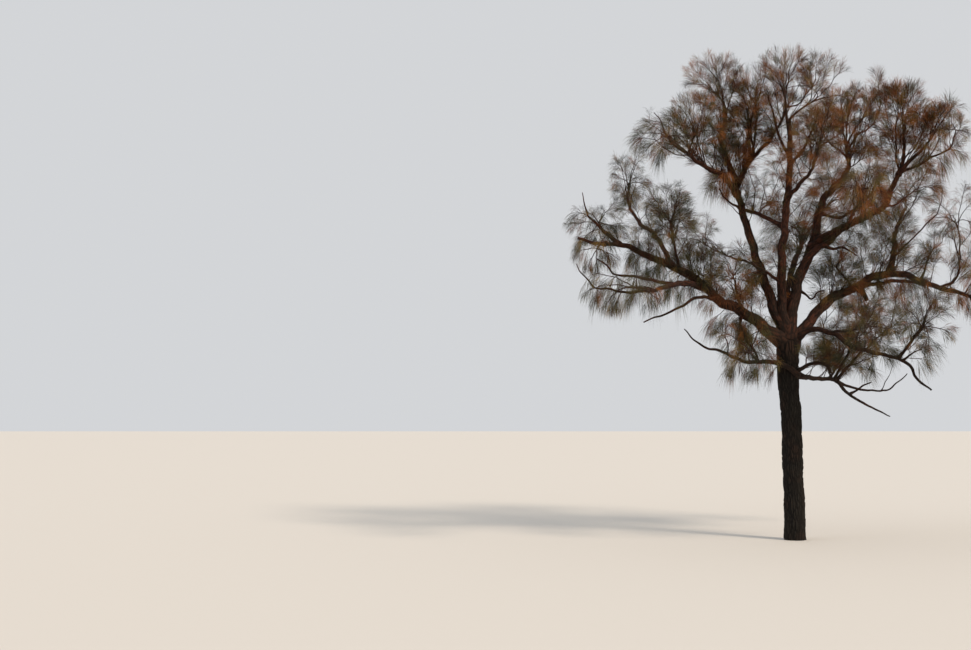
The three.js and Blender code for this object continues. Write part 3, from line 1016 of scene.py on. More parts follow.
@dataclass
class Crown:
    """The living crown: stems and wands from the limbs' tips, fringes along the limbs, sprigs and strands."""

    limbs: dict[str, Limb]
    masses: list[Mass]
    fringes: list[Fringe]
    twig_bark: TwigBark = TwigBark()

    WAND_SEED = 41
    SPRAY_SEED = 42
    TURN_SEED = 43
    SEED_STEP = 7919
    LINE_POINTS = 8
    RING_SIDES = (8, 4, 3)
    MOST_BLADES_A_MESH = 90_000

    # A stem runs from its limb's tip to the heart of its mass, and stems that share a tip stand apart.
    SHARED_SHIFT = 0.55
    SHARED_GIRTH = 0.72
    LEVEL_DROOP = 0.6
    HEART_SHIFT = 0.6
    SUNK = 0.02
    LEAD = 0.06
    LEAD_SHARE = 0.2
    BEND_PLACE = 0.55
    BEND_LEAD = 0.12
    STEM_TIP = 0.009

    # Wands grow round the top of the stem as the frame's blades do, and more along the end of the limb.
    STEM_WANDS = 8
    LIMB_WANDS = 6
    WAND_SPACING = 0.06
    WAND_REACH = 0.97
    LONGEST_WAND = 0.76
    TURN_SPREAD = 0.6
    LAST_ON_LIMB = 0.98
    LIMB_STRETCH = 0.4
    STRETCHED_LIMB = 1.2
    LIMB_RISE = 0.6
    LIMB_REACH = (0.45, 0.95)
    STRAIGHT = 0.5
    ARCH = 0.25
    WAND_GIRTHS = (0.009, 0.0034)
    WOBBLE = 0.012
    ROOT_POINT = 0.04

    # The wands of a fringe lean along their limb, out of it and up or down.
    FRINGE_JITTER = 0.012
    FRINGE_ENDS = (0.02, 0.99)
    FRINGE_SPREAD = (0.6, 1.35)
    FRINGE_LEAN = 0.5
    FRINGE_SPLAY = 0.85
    FRINGE_RISE = 0.9
    FRINGE_TIP_RISE = 0.5
    FRINGE_TIP_HANG = 0.9
    FRINGE_ROOT = 0.0035
    FRINGE_ROOT_GIRTH = 0.012
    FRINGE_TIP = 0.003

    # What leaves its mass's space, or the frame's box by more than a little, is cut short.
    NO_LIMIT = (99, 99, 99)
    SIDE_ROOM = 0.06
    SPRIG_EDGES = (0.92, 1.05)
    STRAND_EDGES = (0.95, 1.15)
    SHORTEST_LEFT = 0.4

    def stem(self, mass: Mass) -> Way:
        """The stem of a mass, from its bough's tip to its heart, as the frame has it."""
        limb = self.limbs[mass.carrier]
        partners = [np.array(other.middle) for other in self.masses if other.carrier == mass.carrier]
        middle = np.array(mass.middle)
        tip, heading = limb.way.at(1.0), limb.way.heading(1.0)
        aside = middle - (partners[0] + partners[-1]) / 2
        aside = unit(aside - heading * float(aside @ heading))
        shift = self.SHARED_SHIFT * limb.tip_radius if len(partners) > 1 else 0
        foot = tip + aside * shift
        heart = middle + UP * (mass.droop - self.LEVEL_DROOP) * self.HEART_SHIFT * mass.reach[2]
        length = float(np.linalg.norm(heart - foot))
        lead = foot + heading * min(self.LEAD, self.LEAD_SHARE * length)
        bend = foot + (heart - foot) * self.BEND_PLACE + heading * self.BEND_LEAD * length
        return Way([foot - heading * self.SUNK, lead, bend, heart])

    def arcs(self, roots: np.ndarray, controls: np.ndarray, ends: np.ndarray) -> np.ndarray:
        """Smooth arcs from roots to ends, each drawn towards its control point."""
        share = np.linspace(0, 1, self.LINE_POINTS)[None, :, None]
        return (
            roots[:, None] * (1 - share) ** 2
            + 2 * controls[:, None] * share * (1 - share)
            + ends[:, None] * share**2
        )

    def wands_of(self, mass: Mass, index: int, stem: Way) -> np.ndarray:
        """The wands of a mass: as many on its stem as the frame has blades, and more on its limb.

        Args:
            mass: The mass to fill.
            index: Its row in the table, which seeds its chance.
            stem: Its stem.

        Returns:
            Points along each wand.
        """
        chance = Chance(self.SEED_STEP * (index + 1))
        limb = self.limbs[mass.carrier]
        more = round(self.LIMB_WANDS * mass.fullness)
        roots, controls, ends = [], [], []
        for i in range(self.STEM_WANDS + more):
            on_stem = i < self.STEM_WANDS
            rank = i + 0.5 if on_stem else (i - self.STEM_WANDS + 0.5) * self.STEM_WANDS / more
            height = 1 - 2 * rank / self.STEM_WANDS
            turn = GOLDEN_ANGLE * (i if on_stem else i + 0.5) + chance.between(0, self.TURN_SPREAD)
            flat = math.sqrt(max(0.0, 1 - height * height))
            out = np.array([flat * math.cos(turn), flat * math.sin(turn), height]) * mass.reach
            if on_stem:
                share = 1 - self.WAND_SPACING * (self.STEM_WANDS - i)
                root = stem.at(share)
                heading = stem.heading(share)
            else:
                stretch = self.LIMB_STRETCH * min(1, self.STRETCHED_LIMB / limb.way.length)
                share = self.LAST_ON_LIMB - stretch * chance.between(0, 1)
                root = limb.way.at(share)
                heading = unit(limb.way.heading(share) + UP * self.LIMB_RISE * (1 - mass.droop))
                out = out * chance.between(*self.LIMB_REACH)
            way = out + np.array(mass.middle) - root
            span = float(np.linalg.norm(way))
            if on_stem and span > self.LONGEST_WAND:
                way *= self.LONGEST_WAND / span
            way *= self.WAND_REACH
            span = float(np.linalg.norm(way))
            straight = root + heading * self.STRAIGHT * span
            arched = root + way / 2 + UP * self.ARCH * span
            roots.append(root)
            controls.append(straight * (1 - mass.droop) + arched * mass.droop)
            ends.append(root + way)
        return self.arcs(np.array(roots), np.array(controls), np.array(ends))

    def fringe_lines(self, fringe: Fringe, random: np.random.Generator) -> np.ndarray:
        """The lines of a fringe's wands."""
        limb = self.limbs[fringe.carrier]
        places = np.linspace(fringe.first, fringe.last, fringe.count)
        places = np.clip(places + random.normal(0, self.FRINGE_JITTER, fringe.count), *self.FRINGE_ENDS)
        roots = limb.way.at(places)
        headings = limb.way.heading(places)
        side, other = across(headings)
        spins = (GOLDEN_ANGLE * np.arange(fringe.count) + random.uniform(0, FULL_TURN))[:, None]
        aside = side * np.cos(spins) + other * np.sin(spins)
        rise = UP * (self.FRINGE_RISE - fringe.droop)
        ways = unit(self.FRINGE_LEAN * headings + self.FRINGE_SPLAY * aside + rise)
        length = (fringe.length * random.uniform(*self.FRINGE_SPREAD, fringe.count))[:, None]
        tip_rise = UP * (self.FRINGE_TIP_RISE - self.FRINGE_TIP_HANG * fringe.droop)
        return self.arcs(roots, roots + ways * length / 2, roots + length * unit(ways + tip_rise))

    def wands(self) -> tuple[Twigs, Twigs]:
        """The stems of all masses, and all wands on stems and limbs."""
        random = np.random.default_rng(self.WAND_SEED)
        stems, groups = [], []
        shares = np.linspace(0, 1, self.LINE_POINTS)
        for index, mass in enumerate(self.masses):
            stem = self.stem(mass)
            shared = sum(other.carrier == mass.carrier for other in self.masses) > 1
            foot = self.limbs[mass.carrier].tip_radius * (self.SHARED_GIRTH if shared else 1)
            stems.append(self.twigs(stem.at(shares)[None], (foot, self.STEM_TIP), mass, index))
            groups.append(self.twigs(self.wands_of(mass, index, stem), self.WAND_GIRTHS, mass, index))
        for fringe in self.fringes:
            girths = (self.FRINGE_ROOT + self.FRINGE_ROOT_GIRTH * fringe.length, self.FRINGE_TIP)
            groups.append(self.twigs(self.fringe_lines(fringe, random), girths, fringe, Twigs.NO_MASS))
        made = Twigs.joined(groups)
        wobble = random.normal(0, self.WOBBLE, made.lines.shape) * made.lengths()[:, None, None]
        wobble[:, :2] = 0
        made.lines += wobble
        return Twigs.joined(stems), made

    def twigs(self, lines: np.ndarray, girths: tuple[float, float], of: Mass | Fringe, mass: int) -> Twigs:
        """Twigs of one mass or fringe, whose tint holds their colouring, olive where painted as shaded and
        russet as painted sunlight, until the sprays are dealt theirs.
        """
        total = len(lines)
        painted_crown_light = list(PaintedCrownLight).index(of.painted_crown_light)
        return Twigs(
            lines,
            np.tile(girths, (total, 1)),
            np.full(total, float(of.droop)),
            np.full(total, painted_crown_light),
            np.full(total, mass),
        )

    def inside(self, twigs: Twigs, edge: np.ndarray) -> Twigs:
        """Shortens what leaves its mass's space or the tree's own box, and drops what would be a stub.

        Args:
            twigs: The twigs to fit in.
            edge: How far from its mass's middle each may reach, where 1 is the mass's own surface.

        Returns:
            The twigs that are left.
        """
        middles = np.array([*(mass.middle for mass in self.masses), (0, 0, 0)])[twigs.mass]
        reaches = np.array([*(mass.reach for mass in self.masses), self.NO_LIMIT])[twigs.mass]
        root, tip = (np.linalg.norm((twigs.lines[:, end] - middles) / reaches, axis=1) for end in (0, -1))
        keep = np.where(tip > edge, (edge - root) / np.maximum(tip - root, TINY), 1)
        keep = np.where(root > edge, np.where(tip > root, 0, 1), keep)
        start = twigs.lines[:, :1]
        steps = twigs.lines[:, 1:] - start
        low, high = (np.array(corner) for corner in CAD_BOX)
        room = np.where(steps > 0, high + self.SIDE_ROOM - start, low - self.SIDE_ROOM - start)
        moves = np.abs(steps) > MILLIMETRE
        share = np.where(moves, room / np.where(moves, steps, 1), 1).min(axis=(1, 2))
        keep = np.clip(np.minimum(keep, share), 0, 1)
        twigs.lines = start + (twigs.lines - start) * keep[:, None, None]
        return twigs.kept(keep > self.SHORTEST_LEFT)

    def wood_piece(self, name: str, twigs: Twigs, sides: int, bark: bpy.types.Material) -> Piece:
        """Twigs of one order as one mesh, in place of the plain masses that they belong to."""
        start = twigs.lines[:, :1]
        root = start + (twigs.lines[:, 1:2] - start) * self.ROOT_POINT
        lines = np.concatenate([start, root, twigs.lines[:, 1:]], axis=1)
        shares = np.linspace(0, 1, lines.shape[1])
        radii = twigs.girths[:, :1] + (twigs.girths[:, 1:] - twigs.girths[:, :1]) * shares
        shape = slim_solids(lines, radii, sides)
        return Piece(name, shape, bark, "upper_bark", self.nodes_of(twigs.mass))

    def nodes_of(self, masses: np.ndarray) -> list[str]:
        """The plain nodes of the masses that twigs belong to."""
        return [self.masses[i].node() for i in np.unique(masses) if i != Twigs.NO_MASS]

    def needle_pieces(self, strands: Twigs) -> list[Piece]:
        """The strands as one mesh for each tint, or as several under the largest size."""
        pieces = []
        random = np.random.default_rng(self.TURN_SEED)
        for order, tint in enumerate(Tint):
            shaded, lit, painted_crown_light = tint.value
            name = tint.name.lower()
            # Each tint's shaded and lit tones are painted shade and painted light, mixed in random patches on
            # the needles.
            skin = NeedleSkin(name=f"needle_skin_{name}", dark=shaded, light=lit).make()
            rows = np.flatnonzero(strands.tint == order)
            parts = math.ceil(len(rows) / self.MOST_BLADES_A_MESH)
            for part, some in enumerate(np.array_split(rows, parts), 1):
                spins = random.uniform(0, math.pi, len(some))
                shape = thin_blades(strands.lines[some], strands.girths[some, 0], spins)
                nodes = self.nodes_of(strands.mass[some])
                pieces.append(Piece(f"needles_{name}_{part}", shape, skin, painted_crown_light.value, nodes))
        return pieces

    def build(self) -> list[Piece]:
        """Grows the crown and returns its pieces."""
        random = np.random.default_rng(self.SPRAY_SEED)
        bark = self.twig_bark.make()
        stems, wands = self.wands()
        sprigs = Sprigs().grow(wands, random)
        sprigs = self.inside(sprigs, random.uniform(*self.SPRIG_EDGES, len(sprigs.lines)))
        strands = Strands().grow(sprigs, random)
        strands = self.inside(strands, random.uniform(*self.STRAND_EDGES, len(strands.lines)))
        LOG.info("%d wands, %d sprigs, %d strands", len(wands.lines), len(sprigs.lines), len(strands.lines))
        wood = zip(("stems", "wands", "sprigs"), (stems, wands, sprigs), self.RING_SIDES)
        pieces = [self.wood_piece(f"twig_{name}", twigs, sides, bark) for name, twigs, sides in wood]
        return pieces + self.needle_pieces(strands)


@dataclass(frozen=True)
class Lamp:
    """A soft distant light.

    Attributes:
        name: Its name.
        strength: Its strength.
        colour: Its colour as sRGB hex.
        width: How wide it is in the sky, in degrees.
        height: How high it stands over the floor, in degrees.
        bearing: How far round from the camera's side it stands, in degrees.
    """

    name: str
    strength: float
    colour: str
    width: float
    height: float
    bearing: float

    def place(self) -> None:
        """Adds the light to the scene."""
        data = bpy.data.lights.new(self.name, "SUN")
        data.energy = self.strength
        data.color = linear(self.colour)[:3]
        data.angle = math.radians(self.width)
        light = add_object(self.name, data)
        light.rotation_euler = (math.radians(90 - self.height), 0, math.radians(self.bearing))


@dataclass(frozen=True)
class Studio:
    """A plain pale floor under an even pale sky, with a soft key light and a weak one opposite."""

    focal_pixels: float = 1190
    image_width: int = 971
    eye: Point = (-4.576, -17.82, 1.694)
    pitch: float = 4.8
    sensor: float = 36
    view_distance: float = 2000
    floor_size: float = 600
    floor_paint: MattPaint = MattPaint()
    sky_colour: str = "#e3e5e8"
    sky_strength: float = 0.85
    lamps: tuple[Lamp, ...] = (
        Lamp("key_light", 2.8, "#ffeeda", width=12, height=38, bearing=46),
        Lamp("fill_light", 0.5, "#e6eeff", width=40, height=30, bearing=-70),
    )

    def camera(self) -> None:
        """Sets the camera where the photograph was taken from, level but for its upward pitch."""
        data = bpy.data.cameras.new("camera")
        data.sensor_width = self.sensor
        data.lens = self.focal_pixels / self.image_width * self.sensor
        data.clip_end = self.view_distance
        camera = add_object("camera", data)
        camera.location = self.eye
        camera.rotation_euler = (math.radians(90 + self.pitch), 0, 0)
        bpy.context.scene.camera = camera

    def floor(self) -> None:
        """Lays the level floor, far wider than the tree so that it has no edge near it."""
        half = self.floor_size / 2
        corners = [(-half, -half, 0), (half, -half, 0), (half, half, 0), (-half, half, 0)]
        mesh = bpy.data.meshes.new("floor")
        mesh.from_pydata(corners, [], [(0, 1, 2, 3)])
        mesh.materials.append(self.floor_paint.make())
        add_object("floor", mesh)

    def sky(self) -> None:
        """Sets an even pale surround."""
        world = bpy.data.worlds.new("pale_surround")
        world.use_nodes = True
        world.node_tree.nodes.clear()
        glow = add_node(world.node_tree, "ShaderNodeBackground", {
            "Color": linear(self.sky_colour), "Strength": self.sky_strength,
        })
        add_node(world.node_tree, "ShaderNodeOutputWorld", {"Surface": glow.outputs[0]})
        bpy.context.scene.world = world

    def build(self) -> None:
        """Sets up the floor, the lights and the camera."""
        self.floor()
        self.sky()
        for lamp in self.lamps:
            lamp.place()
        self.camera()
        bpy.context.scene.view_settings.view_transform = "Standard"


# The boughs, limbs and dead branches: name, carrier, radius at the root and the tip, and the way.
LIMBS: list[tuple] = [
    ("stem_right", "trunk", 0.095, 0.026, (-0.02, 0, 2.95), (0.13, 0.05, 3.82), (0.35, 0.1, 4.31),
     (0.48, 0.2, 4.7), (0.64, 0.35, 5.16), (0.89, 0.5, 5.38), (1.12, 0.6, 5.72), (1.14, 0.7, 6.06)),
    ("bough_left", "trunk", 0.092, 0.028, (-0.06, 0, 2.9), (-0.42, -0.05, 3.17), (-0.75, -0.15, 3.39),
     (-1.17, -0.25, 3.56), (-1.43, -0.3, 3.82), (-2.09, -0.5, 4.14), (-2.47, -0.6, 4.28),
     (-2.86, -0.7, 4.31)),
    ("bough_right", "trunk", 0.088, 0.024, (-0.05, 0, 2.79), (0.13, 0.05, 3.03), (0.53, 0.2, 3.47),
     (0.79, 0.3, 3.66), (1.16, 0.4, 3.81), (1.43, 0.45, 3.99), (1.79, 0.5, 4.04), (2.42, 0.7, 3.88),
     (2.86, 0.8, 3.76), (3.15, 0.85, 3.69)),
    ("stem_middle", "trunk", 0.074, 0.034, (-0.06, 0, 3), (-0.14, -0.05, 3.69), (-0.13, -0.1, 4.09),
     (-0.11, -0.15, 4.53), (-0.05, -0.2, 5.09), (0, -0.25, 5.58), (-0.04, -0.3, 6.18)),
    ("stem_left", "trunk", 0.08, 0.034, (-0.06, 0, 2.96), (-0.25, 0, 3.48), (-0.37, 0.1, 3.92),
     (-0.47, 0.2, 4.36), (-0.61, 0.3, 4.95), (-0.68, 0.35, 5.32), (-0.58, 0.38, 5.58),
     (-0.43, 0.4, 5.85)),
    ("back_bough", "trunk", 0.078, 0.028, (-0.05, 0, 2.84), (0.06, 0.5, 3.46), (0.3, 1.05, 4.12),
     (0.65, 1.6, 4.7)),
    ("right_big", "stem_right", 0.066, 0.024, (0.36, 0.1, 4.33), (0.6, 0, 4.54), (1.11, -0.25, 4.8),
     (1.33, -0.4, 4.93), (1.43, -0.5, 5.19), (1.54, -0.6, 5.41), (1.73, -0.68, 5.62)),
    ("right_big_riser", "right_big", 0.032, 0.018, (1.5, -0.57, 5.34), (1.58, -0.56, 5.6),
     (1.62, -0.5, 5.9)),
    ("right_front_limb", "right_big", 0.026, 0.014, (0.87, -0.12, 4.69), (0.77, -0.7, 4.74),
     (0.57, -1.75, 4.75)),
    ("left_fork", "bough_left", 0.032, 0.02, (-2.62, -0.65, 4.3), (-2.86, -0.6, 4.52),
     (-2.9, -0.54, 4.6)),
    ("left_riser", "bough_left", 0.038, 0.02, (-1.84, -0.43, 4.03), (-1.93, -0.1, 4.38),
     (-2.01, 0.15, 4.59), (-2.17, 0.55, 4.83), (-2.26, 1, 5.17), (-2.27, 1.25, 5.37)),
    ("left_tuft_limb", "bough_left", 0.024, 0.014, (-1.7, -0.4, 3.95), (-1.85, -0.8, 4.24),
     (-1.93, -1.05, 4.35)),
    ("left_under", "bough_left", 0.048, 0.024, (-1.33, -0.29, 3.72), (-1.79, -0.78, 3.72),
     (-2.08, -1.2, 3.62), (-2.33, -1.55, 3.54)),
    ("left_dead", "bough_left", 0.028, 0.009, (-1.15, -0.25, 3.55), (-1.51, -0.5, 3.54),
     (-1.76, -0.6, 3.39), (-1.97, -0.7, 3.29), (-2.31, -0.85, 3.16)),
    ("left_spur", "bough_left", 0.026, 0.013, (-0.54, -0.08, 3.25), (-0.68, 0.25, 3.51),
     (-0.69, 0.6, 3.88)),
    ("low_left", "trunk", 0.043, 0.007, (-0.03, 0, 2.43), (0.06, -0.13, 2.445), (0, -0.185, 2.49),
     (-0.12, -0.19, 2.565), (-0.25, -0.16, 2.62), (-0.39, -0.15, 2.64), (-0.67, -0.25, 2.62),
     (-0.88, -0.35, 2.67), (-1.2, -0.5, 2.78), (-1.34, -0.55, 2.81), (-1.56, -0.65, 2.93),
     (-1.71, -0.7, 3.07)),
    ("low_left_spur", "low_left", 0.02, 0.012, (-0.52, -0.2, 2.63), (-0.68, -0.6, 2.67),
     (-0.76, -0.85, 2.68)),
    ("stem_left_arm", "stem_left", 0.02, 0.01, (-0.42, 0.15, 4.05), (-0.56, 0.45, 4.22),
     (-0.7, 0.85, 4.34), (-0.82, 1.25, 4.49)),
    ("upper_left_arm", "stem_left", 0.046, 0.026, (-0.65, 0.35, 5.25), (-0.9, 0.2, 5.48),
     (-1.23, -0.1, 5.57), (-1.54, -0.38, 5.69)),
    ("upper_left_riser", "stem_left", 0.046, 0.02, (-0.67, 0.35, 5.4), (-0.79, 0.4, 5.72),
     (-0.88, 0.38, 5.96), (-0.93, 0.35, 6.12), (-0.86, 0.33, 6.34), (-0.85, 0.32, 6.56)),
    ("cross_limb", "stem_middle", 0.028, 0.014, (-0.11, -0.12, 4.6), (-0.19, 0.5, 4.91),
     (-0.16, 1.15, 5.08), (-0.04, 1.55, 5.22)),
    ("middle_arm", "stem_middle", 0.034, 0.016, (-0.05, -0.2, 5.08), (0.03, -0.45, 5.2),
     (0.1, -0.9, 5.31), (0.09, -1.25, 5.43)),
    ("right_riser", "bough_right", 0.05, 0.016, (1.7, 0.49, 4.03), (1.86, 0.75, 4.42), (2, 1.1, 4.74),
     (2.28, 1.5, 5.12), (2.42, 1.75, 5.28)),
    ("right_end_riser", "bough_right", 0.022, 0.012, (2.56, 0.72, 3.84), (2.86, 0.9, 4), (3, 1.05, 4.19),
     (3.08, 1.2, 4.61)),
    ("low_right", "bough_right", 0.045, 0.013, (0.06, 0.03, 2.96), (0.27, -0.15, 3.1),
     (0.42, -0.25, 3.08), (0.58, -0.4, 3.01), (0.78, -0.6, 2.81), (1.14, -0.85, 2.69), (1.41, -1, 2.55),
     (1.49, -1.05, 2.35), (1.68, -1.1, 2.17)),
    ("low_right_front_limb", "low_right", 0.022, 0.013, (0.5, -0.33, 3.06), (0.61, -0.75, 3.04),
     (0.63, -1.2, 3.03)),
    ("low_right_riser", "low_right", 0.025, 0.013, (1.29, -0.94, 2.64), (1.4, -1.05, 2.82),
     (1.45, -1.15, 2.92)),
    ("low_right_under", "trunk", 0.043, 0.008, (-0.03, 0, 2.47), (0.12, 0, 2.44), (0.24, 0.12, 2.41),
     (0.41, 0.3, 2.4), (0.82, 0.5, 2.37), (0.98, 0.55, 2.22), (1.26, 0.6, 2.03), (1.44, 0.65, 1.94),
     (1.7, 0.7, 1.83)),
    ("low_right_tuft_limb", "low_right_under", 0.02, 0.012, (0.69, 0.45, 2.38), (0.9, 0.7, 2.6),
     (1.03, 0.95, 2.73)),
]

